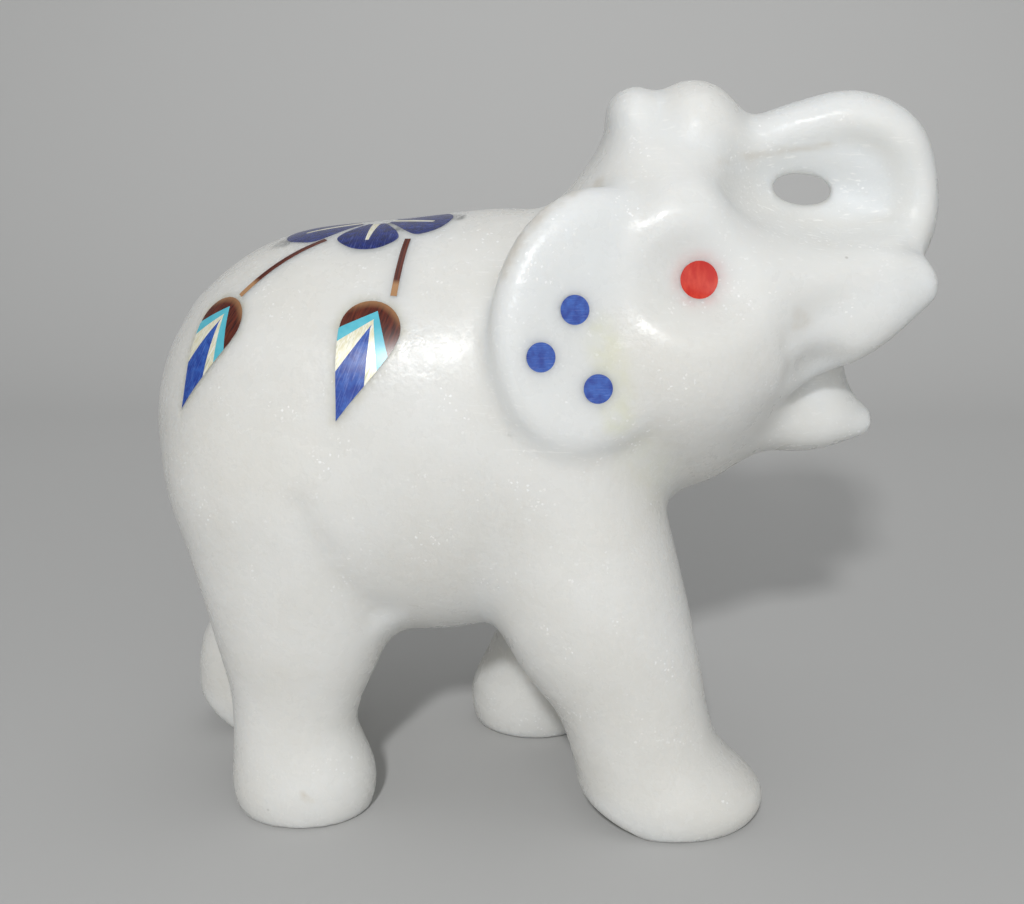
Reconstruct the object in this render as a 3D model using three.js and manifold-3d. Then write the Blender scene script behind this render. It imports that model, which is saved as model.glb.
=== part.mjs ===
// A carved marble elephant with its trunk raised and curled back, inlaid with cut stones.
// Millimetres, +Z up, head towards +X. The elephant's right side faces -Y.
import * as THREE from "three";
import { mergeVertices } from "three/addons/utils/BufferGeometryUtils.js";
import Module from "manifold-3d";

const wasm = await Module();
wasm.setup();
const { abs, cos, hypot, max, min, PI, sign, sin, sqrt, tan } = Math;
const radians = PI / 180;

// Driving sizes
const height = 76; // floor to the top of the trunk's tip
const stoneThickness = 1.2; // how deep a stone reaches below the marble's surface
const glueGap = 0.1; // round and under each stone
const eyeDiameter = 3.6;
const dotDiameter = 2.8;
const petalWidth = 6.3;
const slotWidth = 0.8; // the white sliver's slot, at the flower's middle
const slotTip = 0.34; // the same slot, at its far end
const stemWidth = 0.62;
const capDiameter = 5.9; // a bud's round end
const budTaper = 9.3; // from the middle of a bud's round end to its tip
const flowerHub = 1.5; // radius of bare marble at the flower's middle
const soleTrim = 8; // depth of what is ground off below the soles

// The form is drawn at this height, and its numbers are millimetres at that height.
const drawnHeight = 74.4;
const k = height / drawnHeight;

// Facets: the size of a cell where the form is broad, and where it is fine
const broadCell = 5.2;
const fineCell = 2.35;
const acrossCell = 2.6;
const earCell = 2; // across, from the ears outwards
const relaxRounds = 4;
const surfaceStep = 0.5; // the most that a vertex moves to the surface in a round

// Shapes as signed distances: negative inside

function ball([x, y, z], [cx, cy, cz], [rx, ry, rz], pitch = 0) {
  const c = cos(pitch * radians);
  const s = sin(pitch * radians);
  const dx = c * (x - cx) + s * (z - cz);
  const dz = c * (z - cz) - s * (x - cx);
  const dy = y - cy;
  const near = hypot(dx / rx, dy / ry, dz / rz);
  const steep = hypot(dx / rx ** 2, dy / ry ** 2, dz / rz ** 2);
  return (near * (near - 1)) / max(steep, 1e-9);
}

// A cone with a ball at each end; flat is its width across over its width seen from the side
function limb([x, y, z], a, b, flat = 1) {
  const [bx, by, bz] = [b[0] - a[0], (b[1] - a[1]) / flat, b[2] - a[2]];
  const [px, py, pz] = [x - a[0], (y - a[1]) / flat, z - a[2]];
  const long2 = bx * bx + by * by + bz * bz;
  const taper = a[3] - b[3];
  const slope2 = long2 - taper * taper;
  if (slope2 <= 0) return hypot(px, py, pz) - a[3];
  const along = px * bx + py * by + pz * bz;
  const past = along - long2;
  const off2 =
    (px * long2 - bx * along) ** 2 + (py * long2 - by * along) ** 2 + (pz * long2 - bz * along) ** 2;
  const limit = sign(taper) * taper * taper * off2;
  if (sign(past) * slope2 * past * past * long2 > limit)
    return sqrt(off2 + past * past * long2) / long2 - b[3];
  if (sign(along) * slope2 * along * along * long2 < limit)
    return sqrt(off2 + along * along * long2) / long2 - a[3];
  return (sqrt((off2 * slope2) / long2) + along * taper) / long2 - a[3];
}

// Joins two shapes with a fillet about as wide as soft
function join(a, b, soft) {
  const h = max(soft - abs(a - b), 0) / soft;
  return min(a, b) - (h * h * soft) / 4;
}

const cut = (a, b, soft) => -join(-a, b, soft);

// Rows of x, y, z and radius, with steps added between them on a Catmull-Rom curve
function eased(rows, steps) {
  const lead = rows[0].map((value, i) => 2 * value - rows[1][i]);
  const trail = rows.at(-1).map((value, i) => 2 * value - rows.at(-2)[i]);
  const all = [lead, ...rows, trail];
  const out = [];
  for (let i = 0; i + 1 < rows.length; i++) {
    const [p0, p1, p2, p3] = all.slice(i, i + 4);
    for (let n = 0; n < steps; n++) {
      const t = n / steps;
      out.push(
        p1.map(
          (value, j) =>
            0.5 *
            (2 * value +
              (p2[j] - p0[j]) * t +
              (2 * p0[j] - 5 * value + 4 * p2[j] - p3[j]) * t ** 2 +
              (3 * value - p0[j] - 3 * p2[j] + p3[j]) * t ** 3),
        ),
      );
    }
  }
  return [...out, rows.at(-1)];
}

function chain(p, path, flat = 1) {
  let d = Infinity;
  for (let i = 0; i + 1 < path.length; i++) d = min(d, limb(p, path[i], path[i + 1], flat));
  return d;
}

// The form, drawn at drawnHeight

const hip = [-21, 7, 35, 13.2];
const shoulder = [4, 7.6, 37, 10.2];
const legs = {
  rightFront: {
    path: eased([mirrored(shoulder), [8, -9.2, 24, 9.7], [11.6, -9.9, 15.9, 8], [13.3, -10.2, 10.2, 7.4],
      [14.9, -10.3, 4.2, 7.6]], 3),
    flat: 0.86,
    toe: { centre: [18.6, -10.3, 2.4], radii: [7.9, 6.7, 4.4] },
    heel: { x: 13.5, rise: 0.42 },
  },
  rightRear: {
    path: eased([mirrored(hip), [-21.5, -8.6, 22, 9.4], [-22.2, -9.3, 14.4, 7], [-22.5, -9.6, 9, 6.5],
      [-21.8, -9.7, 3.2, 7.6]], 3),
    flat: 0.8,
  },
  leftFront: {
    path: eased([shoulder, [5.6, 9, 23, 8.6], [5.2, 9.8, 13.5, 6.8], [3.6, 10.4, 8, 6.6],
      [2.4, 10.6, 3.2, 7.5]], 3),
    flat: 0.86,
  },
  leftRear: {
    path: eased([hip, [-23, 8.6, 23, 9.4], [-27.2, 9.4, 14.5, 6.9], [-30.6, 9.8, 8.8, 6.7],
      [-30.6, 9.9, 3.6, 7.2]], 3),
    flat: 0.8,
    heel: { x: -32.5, rise: 0.75 },
  },
};
const legFillet = 3;
const trunkPath = eased([[18, 0, 58, 9.5], [28, 0, 57.4, 6], [35.6, 0, 57.6, 4.4], [38.9, 0, 60.4, 3.4],
  [39.2, 0, 65.2, 2.9], [37.4, 0, 69, 2.9], [33.3, 0, 70.7, 2.8], [28.3, 0, 69.7, 2.7], [23, 0, 68, 2.8],
  [18.5, 0, 69, 3.6]], 3);
const lipPath = eased([[24, 0, 42.5, 5], [30.5, 0, 40.4, 3.4], [35.9, 0, 40.2, 1.7]], 2);
const tuskPath = [[27.6, -6.8, 49.6, 4], [33.4, -7, 52, 3.7], [39.2, -6.6, 55.2, 2.2]];
const cheekPath = [[12.6, -10.6, 54.2, 2.6], [18, -10.8, 51.6, 3], [24.5, -8.2, 48.6, 2.6]];
const browPath = eased([[11.6, -10.6, 58, 1.8], [14.5, -10.4, 62, 1.9], [19, -9.2, 62.6, 1.9],
  [24.5, -6.8, 60, 1.7]], 2);
const tailPath = eased([[-31, 0, 51.5, 1.6], [-34.6, 0, 45, 1.6], [-35.9, 0.4, 39, 1.6],
  [-35.2, 0.8, 34, 1.5]], 2);
const muzzlePath = [[23, -6.2, 54.2, 5.6], [35.2, -5.4, 57.2, 3.6]]; // fills between the trunk and a tusk
const foreheadPath = [[15, -3.6, 62.4, 5.6], [24.5, -2.6, 61.4, 5.6]];
const throatPath = [[28, 0, 51, 4.6], [32.4, 0, 42.6, 2.8]];
const crestPath = [[13.6, 0, 62, 4.6], [12.2, 0, 70.8, 3]];
const torsoBalls = {
  rump: [[-16.3, 0, 39.6], [20.7, 17, 20.6], 3],
  chest: [[1, 0, 42], [17, 15.6, 19.8]],
  belly: [[-8, 0, 33.5], [17, 15.2, 15.4]],
};
const headBalls = {
  skull: [[14.5, 0, 56.5], [11.5, 12, 11.5]],
  jaw: [[15.5, 0, 46], [12.6, 12.4, 13], 8],
  cheek: [[15, -6, 48.4], [13, 10.2, 9.8], 10],
  knob: [[17.6, 0, 69.8], [4.3, 5.6, 4.4]],
  web: [[28.6, 0, 63.6], [11, 5.4, 6.4]], // the thin wall inside the trunk's curl
};
const bowl = { centre: [30.2, -8.8, 64.2], radii: [9.6, 8.2, 4.4], pitch: -6 }; // scooped from each side
const hole = { centre: [28.9, 0, 63.9], halfWidth: 2.95, halfHeight: 1.5, pitch: -8 };
const holeSides = 16;
const socket = { centre: [18.6, -17, 57.2], radii: [7.4, 4.4, 4.4], pitch: -4 };
const ear = {
  centre: [7.6, -12.6, 52.8], halfWidth: 9.4, halfHeight: 12.3, halfThickness: 2.4,
  tilt: -6, leanIn: 11, turnIn: 15, edge: 3.4,
};
const leftEarDrop = 3; // the left ear is carved lower than the right one

function mirrored([x, y, z, ...rest]) {
  return [x, -y, z, ...rest];
}

function torso(p) {
  const { rump, chest, belly } = torsoBalls;
  return join(join(ball(p, ...rump), ball(p, ...chest), 9), ball(p, ...belly), 5);
}

// The heel of a stepping foot is lifted: a plane slopes up from where the heel leaves the floor
function leg(p, { path, flat, toe, heel }) {
  let d = chain(p, path, flat);
  if (toe) d = join(d, ball(p, toe.centre, toe.radii), 4);
  if (heel) d = cut(d, (p[2] - heel.rise * (heel.x - p[0])) / hypot(1, heel.rise), 1);
  return d;
}

function head(p) {
  const side = [p[0], -abs(p[1]), p[2]];
  const { skull, jaw, cheek, knob, web } = headBalls;
  let d = join(ball(p, ...skull), ball(p, ...jaw), 6);
  d = join(d, chain(p, trunkPath, 1.3), 3);
  d = join(d, ball(p, ...web), 2);
  d = join(d, chain(p, lipPath, 1.3), 2.5);
  d = join(d, chain(p, throatPath), 2.5);
  d = join(d, join(chain(p, crestPath, 1.6), ball(p, ...knob), 1.6), 3.5);
  d = join(d, ball(side, ...cheek), 3);
  d = join(d, chain(side, muzzlePath), 4);
  d = join(d, chain(side, foreheadPath), 4);
  d = join(d, chain(side, cheekPath), 3);
  d = join(d, chain(side, browPath), 3);
  return join(d, chain(side, tuskPath, 0.85), 2.4);
}

// A slab with an oval outline, its top and its front edge leaning in to the head
function earFlap([x, y, z]) {
  const { centre, halfWidth, halfHeight, halfThickness, tilt, leanIn, turnIn, edge } = ear;
  const [dx, dz] = [x - centre[0], z - centre[2] + (y > 0 ? leftEarDrop : 0)];
  const [c, s] = [cos(tilt * radians), sin(tilt * radians)];
  const [u, w] = [c * dx + s * dz, c * dz - s * dx];
  const flatOut = -abs(y) - centre[1] - tan(leanIn * radians) * dz - tan(turnIn * radians) * dx;
  const out = flatOut * cos(leanIn * radians) * cos(turnIn * radians);
  const near = hypot(u / halfWidth, w / halfHeight);
  const rim = (near * (near - 1)) / max(hypot(u / halfWidth ** 2, w / halfHeight ** 2), 1e-9);
  return cut(rim, halfThickness - abs(out), edge);
}

function drawnForm(p) {
  let d = torso(p);
  for (const shape of Object.values(legs)) d = join(d, leg(p, shape), legFillet);
  d = join(d, head(p), 3);
  d = join(d, earFlap(p), 1.6);
  d = join(d, chain(p, tailPath), 1);
  const side = [p[0], -abs(p[1]), p[2]];
  d = cut(d, ball(side, bowl.centre, bowl.radii, bowl.pitch), 4);
  return cut(d, ball(side, socket.centre, socket.radii, socket.pitch), 2.5);
}

const form = (p) => k * drawnForm(p.map((value) => value / k));

// The direction in which the distance grows
function normalAt(p) {
  const reach = 0.12;
  const g = [0, 1, 2].map((i) => {
    const step = (by) => form(p.map((value, j) => (i === j ? value + by : value)));
    return step(reach) - step(-reach);
  });
  return new THREE.Vector3(...g).normalize();
}

// Moves a point along a direction, or along the normal, until it lies on the form
function settled(p, direction) {
  const leastSlope = 0.35;
  let q = new THREE.Vector3(...p);
  for (let i = 0; i < 12; i++) {
    const d = form(q.toArray());
    if (abs(d) < 1e-3) break;
    const n = normalAt(q.toArray());
    const way = direction ?? n;
    q = q.addScaledVector(way, -d / max(n.dot(way), leastSlope));
  }
  return q;
}

// Grid lines from the first mark to the last, at the step given for each stretch
function gridLines(marks, steps) {
  const lines = [marks[0]];
  steps.forEach((step, i) => {
    const count = Math.ceil((marks[i + 1] - marks[i]) / step);
    for (let n = 1; n <= count; n++) lines.push(marks[i] + ((marks[i + 1] - marks[i]) * n) / count);
  });
  return lines;
}

// Surface nets: in each cell, one vertex for each sheet of the surface that passes through it,
// and one quad round each grid edge that the surface crosses
function polygonised(lines) {
  const [nx, ny, nz] = lines.map((list) => list.length);
  const at = ([i, j, l]) => (l * ny + j) * nx + i;
  const corner = (cell) => cell.map((n, axis) => lines[axis][n]);
  const nodes = [];
  for (let l = 0; l < nz; l++)
    for (let j = 0; j < ny; j++)
      for (let i = 0; i < nx; i++) nodes.push([i, j, l]);
  const values = nodes.map((node) => form(corner(node)) || 1e-9);
  const value = (node) => values[at(node)];
  const inside = nodes.filter(([i, j, l]) => i + 1 < nx && j + 1 < ny && l + 1 < nz);
  const vertices = [];
  const vertexOf = new Map();
  for (const cell of inside)
    for (const sheet of cellSheets(cell, value)) {
      const middle = new THREE.Vector3();
      for (const edge of sheet) {
        const [from, to] = edgeEnds(cell, edge);
        const share = value(from) / (value(from) - value(to));
        middle.add(new THREE.Vector3(...mix(corner(from), corner(to), share)));
        vertexOf.set(at(cell) * 12 + edge, vertices.length);
      }
      vertices.push(middle.divideScalar(sheet.length));
    }
  const triangles = [];
  for (const node of inside)
    for (let axis = 0; axis < 3; axis++) {
      const [b, c] = [(axis + 1) % 3, (axis + 2) % 3];
      if (!node[b] || !node[c]) continue;
      const next = node.with(axis, node[axis] + 1);
      if (value(node) < 0 === value(next) < 0) continue;
      const vertex = (back, side) => {
        const cell = node.with(b, node[b] - back).with(c, node[c] - side);
        return vertexOf.get(at(cell) * 12 + axis * 4 + back + 2 * side);
      };
      const quad = [vertex(0, 0), vertex(1, 0), vertex(1, 1), vertex(0, 1)];
      if (value(node) > 0) quad.reverse();
      triangles.push(...splitQuad(quad, vertices));
    }
  evenedOut(vertices, triangles);
  return solidFrom(vertices, triangles);
}

// Spreads the vertices evenly over the form: each moves towards its neighbours' middle,
// then back to the surface
function evenedOut(vertices, triangles) {
  const neighbours = vertices.map(() => new Set());
  for (let i = 0; i < triangles.length; i += 3)
    for (let n = 0; n < 3; n++) neighbours[triangles[i + n]].add(triangles[i + ((n + 1) % 3)]);
  for (let round = 0; round < relaxRounds; round++) {
    const middles = neighbours.map((around) => {
      const sum = new THREE.Vector3();
      for (const other of around) sum.add(vertices[other]);
      return sum.divideScalar(around.size);
    });
    vertices.forEach((vertex, i) => {
      vertex.lerp(middles[i], 0.5);
      const distance = form(vertex.toArray());
      vertex.addScaledVector(normalAt(vertex.toArray()), -max(min(distance, surfaceStep), -surfaceStep));
    });
  }
}

// A cell's edges are numbered 4 to an axis; the two bits are the offsets along the other two axes
function edgeEnds(cell, edge) {
  const axis = edge >> 2;
  const from = [...cell];
  from[(axis + 1) % 3] += edge & 1;
  from[(axis + 2) % 3] += (edge >> 1) & 1;
  return [from, from.with(axis, from[axis] + 1)];
}

// The crossed edges of a cell, grouped by the sheet of surface that crosses them
function cellSheets(cell, value) {
  const group = new Map();
  for (let edge = 0; edge < 12; edge++) {
    const [from, to] = edgeEnds(cell, edge);
    if (value(from) < 0 !== value(to) < 0) group.set(edge, edge);
  }
  const merge = (a, b) => {
    const [from, to] = [group.get(a), group.get(b)];
    for (const [edge, g] of group) if (g === from) group.set(edge, to);
  };
  for (let axis = 0; group.size && axis < 3; axis++)
    for (let end = 0; end < 2; end++) {
      const [b, c] = [(axis + 1) % 3, (axis + 2) % 3];
      // The face's edges along b lie at offset 0 or 1 along c, and the other way round
      const alongB = [0, 1].map((off) => b * 4 + off + 2 * end);
      const alongC = [0, 1].map((off) => c * 4 + end + 2 * off);
      const crossed = [...alongB, ...alongC].filter((edge) => group.has(edge));
      if (crossed.length === 2) merge(...crossed);
      if (crossed.length < 4) continue;
      for (let n = 0; n < 4; n++) {
        const place = [...cell];
        place[axis] += end;
        place[b] += n & 1;
        place[c] += n >> 1;
        if (value(place) > 0) merge(alongB[n >> 1], alongC[n & 1]);
      }
    }
  return [...new Set(group.values())].map((g) => [...group.keys()].filter((edge) => group.get(edge) === g));
}

function splitQuad([a, b, c, d], vertices) {
  const shortAC = vertices[a].distanceTo(vertices[c]) <= vertices[b].distanceTo(vertices[d]);
  return shortAC ? [a, b, c, a, c, d] : [a, b, d, b, c, d];
}

function solidFrom(vertices, triangles) {
  const vertProperties = new Float32Array(vertices.flatMap((v) => v.toArray()));
  const triVerts = new Uint32Array(triangles);
  return new wasm.Manifold(new wasm.Mesh({ numProp: 3, vertProperties, triVerts }));
}

function solidOf(geometry) {
  const bare = geometry.clone();
  bare.deleteAttribute("normal");
  bare.deleteAttribute("uv");
  const merged = mergeVertices(bare, 1e-4);
  return new wasm.Manifold(
    new wasm.Mesh({
      numProp: 3,
      vertProperties: merged.attributes.position.array,
      triVerts: new Uint32Array(merged.index.array),
    }),
  );
}

function geometryOf(solid) {
  const mesh = solid.getMesh();
  const positions = new Float32Array((mesh.vertProperties.length / mesh.numProp) * 3);
  for (let i = 0; i < positions.length / 3; i++)
    for (let j = 0; j < 3; j++) positions[3 * i + j] = mesh.vertProperties[i * mesh.numProp + j];
  const geometry = new THREE.BufferGeometry();
  geometry.setAttribute("position", new THREE.BufferAttribute(positions, 3));
  geometry.setIndex([...mesh.triVerts]);
  return geometry;
}

// Stones: each is a strip with a left and a right side of as many points, flat on a frame

// A frame on the surface: across runs forward, rise towards the head's top or to the left
function surfaceFrame(place, up = new THREE.Vector3(0, 0, 1)) {
  const origin = settled(place.map((value) => value * k));
  const normal = normalAt(origin.toArray());
  const rise = up.clone().addScaledVector(normal, -up.dot(normal)).normalize();
  const across = rise.clone().cross(normal);
  if (across.x < 0) across.negate();
  return { origin, normal, across, rise };
}

function onFrame({ origin, normal, across, rise }, [u, v]) {
  const flat = origin.clone().addScaledVector(across, u).addScaledVector(rise, v);
  return { place: settled(flat.toArray(), normal), normal };
}

const cornerReach = 2.5; // the most gaps that a sharp corner moves

// Moves each point of a closed outline inwards by gap
function inset(outline, gap) {
  const size = outline.length;
  const turn = outline.reduce((sum, [x, y], i) => {
    const [nextX, nextY] = outline[(i + 1) % size];
    return sum + x * nextY - y * nextX;
  }, 0);
  const edgeNormal = ([ax, ay], [bx, by]) => {
    const long = hypot(bx - ax, by - ay) * sign(turn);
    return [-(by - ay) / long, (bx - ax) / long];
  };
  return outline.map((point, i) => {
    const n1 = edgeNormal(outline[(i + size - 1) % size], point);
    const n2 = edgeNormal(point, outline[(i + 1) % size]);
    const [mx, my] = [n1[0] + n2[0], n1[1] + n2[1]];
    const long = max(hypot(mx, my), 1e-6);
    const reach = gap * min(2 / long, cornerReach);
    return [point[0] + (mx / long) * reach, point[1] + (my / long) * reach];
  });
}

const same = (a, b) => hypot(a[0] - b[0], a[1] - b[1]) < 1e-6;

// A strip's rows with its outline moved in by gap
function insetStrip({ left, right }, gap) {
  const last = left.length - 1;
  const closedStart = same(left[0], right[0]);
  const closedEnd = same(left[last], right[last]);
  const back = right.slice(closedStart ? 1 : 0, closedEnd ? last : last + 1).reverse();
  const moved = inset([...left, ...back], gap);
  const newLeft = moved.slice(0, left.length);
  const newBack = moved.slice(left.length).reverse();
  const newRight = [...(closedStart ? [newLeft[0]] : []), ...newBack, ...(closedEnd ? [newLeft[last]] : [])];
  return { left: newLeft, right: newRight };
}

// A closed solid between a top and a floor, from rows of two surface points
function stripSolid(rows, over, under) {
  const vertices = [];
  const add = ({ place, normal }, by) => vertices.push(place.clone().addScaledVector(normal, by)) - 1;
  const corners = rows.map(([a, b]) => {
    const shut = a.place.distanceTo(b.place) < 1e-4;
    const [topA, lowA] = [add(a, over), add(a, -under)];
    return shut ? [topA, topA, lowA, lowA] : [topA, add(b, over), lowA, add(b, -under)];
  });
  const triangles = [];
  const face = (...ring) => {
    const loop = ring.filter((v, i) => v !== ring[(i + 1) % ring.length]);
    for (let i = 1; i + 1 < loop.length; i++) triangles.push(loop[0], loop[i], loop[i + 1]);
  };
  for (let i = 0; i + 1 < corners.length; i++) {
    const [a, b, c, d] = corners[i];
    const [e, f, g, h] = corners[i + 1];
    face(a, b, f, e);
    face(c, g, h, d);
    face(a, e, g, c);
    face(b, d, h, f);
  }
  const [a, b, c, d] = corners[0];
  const [e, f, g, h] = corners.at(-1);
  face(a, c, d, b);
  face(e, f, h, g);
  return outwards(vertices, triangles);
}

function outwards(vertices, triangles) {
  let volume = 0;
  for (let i = 0; i < triangles.length; i += 3) {
    const [a, b, c] = [0, 1, 2].map((n) => vertices[triangles[i + n]]);
    volume += a.dot(b.clone().cross(c));
  }
  if (volume < 0) triangles.reverse();
  return solidFrom(vertices, triangles);
}

const pockets = [];
const stones = [];
const coverHeight = 1.5; // how far a pocket's cutter stands over the marble

const framedRows = ({ left, right }, frame) =>
  left.map((point, i) => [onFrame(frame, point), onFrame(frame, right[i])]);

function addStone(name, rows, material) {
  stones.push({ name, material, solid: stripSolid(rows, 0, stoneThickness) });
}

function addPocket(rows) {
  pockets.push(stripSolid(rows, coverHeight, stoneThickness + glueGap));
}

const addFramedStone = (name, strip, frame, material) =>
  addStone(name, framedRows(insetStrip(strip, glueGap), frame), material);

const mix = (a, b, t) => a.map((value, i) => value + (b[i] - value) * t);
const between = (a, b, count) => Array.from({ length: count + 1 }, (_, i) => mix(a, b, i / count));

// Materials

const stone = (colour, roughness = 0.25) =>
  new THREE.MeshStandardMaterial({ color: colour, roughness, metalness: 0 });
const materials = {
  marble: stone(0xf1efe8, 0.35),
  lapis: stone(0x1b2a8c),
  coral: stone(0xe03a2c),
  turquoise: stone(0x38b2c4),
  pearl: stone(0xd9d2b4, 0.15),
  agate: stone(0x4a1d16),
};

// Round stones: the eyes and the ears' dots

function disc(diameter, rows) {
  const points = Array.from({ length: rows + 1 }, (_, i) => {
    const turn = (PI * i) / rows;
    return [-cos(turn) * diameter * 0.5, sin(turn) * diameter * 0.5];
  });
  points[rows][1] = 0;
  return { left: points.map(([u, v]) => [u, v]), right: points.map(([u, v]) => [u, -v]) };
}

const eyePlace = [17.66, 12.28, 56.64];
const dotPlaces = { upper: [6.15, 15.23, 54.3], middle: [3.08, 16.84, 50.2], lower: [8.35, 16.05, 47.1] };
const sides = { right: -1, left: 1 };

function addRoundStone(name, [x, y, z], sideName, outline, material) {
  const frame = surfaceFrame([x, y * sides[sideName], z]);
  addFramedStone(`${sideName}_${name}`, outline, frame, material);
  addPocket(framedRows(outline, frame));
}

function addRoundStones(sideName) {
  addRoundStone("eye", eyePlace, sideName, disc(eyeDiameter, 8), materials.coral);
  const drop = sideName === "left" ? leftEarDrop : 0;
  for (const [name, [x, y, z]] of Object.entries(dotPlaces))
    addRoundStone(`ear_dot_${name}`, [x, y, z - drop], sideName, disc(dotDiameter, 6), materials.lapis);
}

// The flower on the back: five petals, each with a slot that holds a white sliver

const flowerFrame = surfaceFrame([-13.3, 0, 61], new THREE.Vector3(0, 1, 0));
const petals = {
  rear: { angle: -166, length: 9.7 },
  right_rear: { angle: -99, length: 7.2 },
  left_rear: { angle: 121, length: 7.4 },
  right_front: { angle: -26, length: 8 },
  left_front: { angle: 47, length: 7.8 },
};

// Along a petal from the hub to its tip, the share of its length and of its half width
const petalShape = [[0.2, 0.28], [0.4, 0.6], [0.6, 0.9], [0.76, 1], [0.9, 0.74], [1, 0.3]];
const slotReach = 0.8; // of the petal's length

function petalStrips(length) {
  const start = max(flowerHub / length, petalShape[0][0]);
  const shape = [[start, petalShape[0][1]], ...petalShape.slice(1)];
  const outer = shape.map(([share, half]) => [share * length, half * petalWidth * 0.5]);
  const slotEnd = slotReach * length;
  const inner = shape.map((_, i) => {
    const t = i / (shape.length - 1);
    return mix([start * length, slotWidth * 0.5], [slotEnd, slotTip * 0.5], t);
  });
  const flip = (points) => points.map(([u, v]) => [u, -v]).reverse();
  const petal = { left: [...outer, ...flip(outer)], right: [...inner, ...flip(inner)] };
  const ends = [inner[0], inner.at(-1)];
  const sliver = { left: between(ends[0], ends[1], 3), right: between(flip(ends)[1], flip(ends)[0], 3) };
  return { petal, sliver, pocket: { left: outer, right: flip(outer).reverse() } };
}

const turned = ([u, v], angle) => [
  u * cos(angle * radians) - v * sin(angle * radians),
  u * sin(angle * radians) + v * cos(angle * radians),
];
const turnedStrip = ({ left, right }, angle) => ({
  left: left.map((point) => turned(point, angle)),
  right: right.map((point) => turned(point, angle)),
});

function addFlower() {
  for (const [name, { angle, length }] of Object.entries(petals)) {
    const { petal, sliver, pocket } = petalStrips(length);
    addFramedStone(`petal_${name}`, turnedStrip(petal, angle), flowerFrame, materials.lapis);
    addFramedStone(`petal_${name}_sliver`, turnedStrip(sliver, angle), flowerFrame, materials.pearl);
    addPocket(framedRows(turnedStrip(pocket, angle), flowerFrame));
  }
}

// Buds: seven stones in a tear shape, fanning out from a point on its axis

// Where the seams between the stones start on the axis, and where they reach the outline,
// as shares of the taper from the middle of the round end (0) to the tip (1)
const budSeams = {
  rear: { starts: [-0.215, -0.12, -0.06], ends: [0.08, 0.23, 0.53] },
  front: { starts: [-0.215, -0.1, -0.01], ends: [0.21, 0.385, 0.57] },
};
const budBulge = 0.1; // by which the tapered sides swell over straight ones
const budBack = 0.23; // from the middle of the round end to the frame's origin, of the taper
const buds = {
  flank: { place: [-13.6, 14.75, 50.4], lean: 18.6 },
  rump: { place: [-29.2, 10.2, 50.2], lean: 12.3 },
};

// Half the bud's width at a share of its taper
function budHalfWidth(share) {
  const radius = capDiameter / 2;
  const slope = radius / budTaper;
  const touching = slope * radius;
  const along = share * budTaper;
  if (along < touching) return sqrt(max(radius ** 2 - along ** 2, 0));
  return ((budTaper - along) * slope) / sqrt(1 - slope ** 2) * (1 + budBulge * sin(PI * share));
}

const onBudRim = (share, sideSign) => [share * budTaper, sideSign * budHalfWidth(share)];
const capTop = -capDiameter / 2 / budTaper;
const budPocketStations = [
  ...[1, 0.92, 0.7, 0.35].map((share) => share * capTop),
  ...[0.08, 0.22, 0.385, 0.55, 0.78, 1],
];

function budStrips(sideSign, { starts, ends }) {
  const onAxis = (share) => [share * budTaper, 0];
  const onRim = (share) => onBudRim(share, sideSign);
  const rimFrom = (a, b, count) =>
    Array.from({ length: count + 1 }, (_, i) => onRim(a + (b - a) * sin((PI / 2) * (i / count)) ** 2));
  return {
    sepal: { left: rimFrom(capTop, ends[0], 5), right: between(onAxis(starts[0]), onRim(ends[0]), 5) },
    strip: {
      left: between(onAxis(starts[0]), onRim(ends[0]), 3),
      right: between(onAxis(starts[1]), onRim(ends[1]), 3),
    },
    wedge: {
      left: between(onAxis(starts[1]), onRim(ends[1]), 3),
      right: between(onAxis(starts[2]), onRim(ends[2]), 3),
    },
    heart: [...between(onAxis(starts[2]), onRim(ends[2]), 3), onRim((1 + ends[2]) / 2), onAxis(1)],
  };
}

// The bud's own frame: its first coordinate runs down to the tip, which leans to the rear
function budFrame(sideName, { place, lean }) {
  const frame = surfaceFrame([place[0], place[1] * sides[sideName], place[2]]);
  const [c, s] = [cos(lean * radians), sin(lean * radians)];
  const across = frame.rise.clone().multiplyScalar(-c).addScaledVector(frame.across, -s);
  const rise = frame.across.clone().multiplyScalar(c).addScaledVector(frame.rise, -s);
  const origin = frame.origin.clone().addScaledVector(across, -budBack * budTaper);
  return { origin, normal: frame.normal, across, rise };
}

function addBud(name, frame) {
  const strips = { rear: budStrips(-1, budSeams.rear), front: budStrips(1, budSeams.front) };
  for (const [end, { sepal, strip, wedge }] of Object.entries(strips)) {
    addFramedStone(`${name}_sepal_${end}`, sepal, frame, materials.agate);
    addFramedStone(`${name}_strip_${end}`, strip, frame, materials.turquoise);
    addFramedStone(`${name}_wedge_${end}`, wedge, frame, materials.pearl);
  }
  const heart = { left: strips.rear.heart, right: strips.front.heart };
  addFramedStone(`${name}_heart`, heart, frame, materials.lapis);
  const outline = (sideSign) => budPocketStations.map((share) => onBudRim(share, sideSign));
  addPocket(framedRows({ left: outline(-1), right: outline(1) }, frame));
}

// Stems: ribbons over the surface from the flower's rim to the top of each bud

const stems = {
  flank: { right: -62, left: 84, start: 7, end: [-1, 0.8] },
  rump: { right: -137, left: 158, start: 7, end: [-0.45, 0.3] },
};
const stemSteps = 4;

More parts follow.
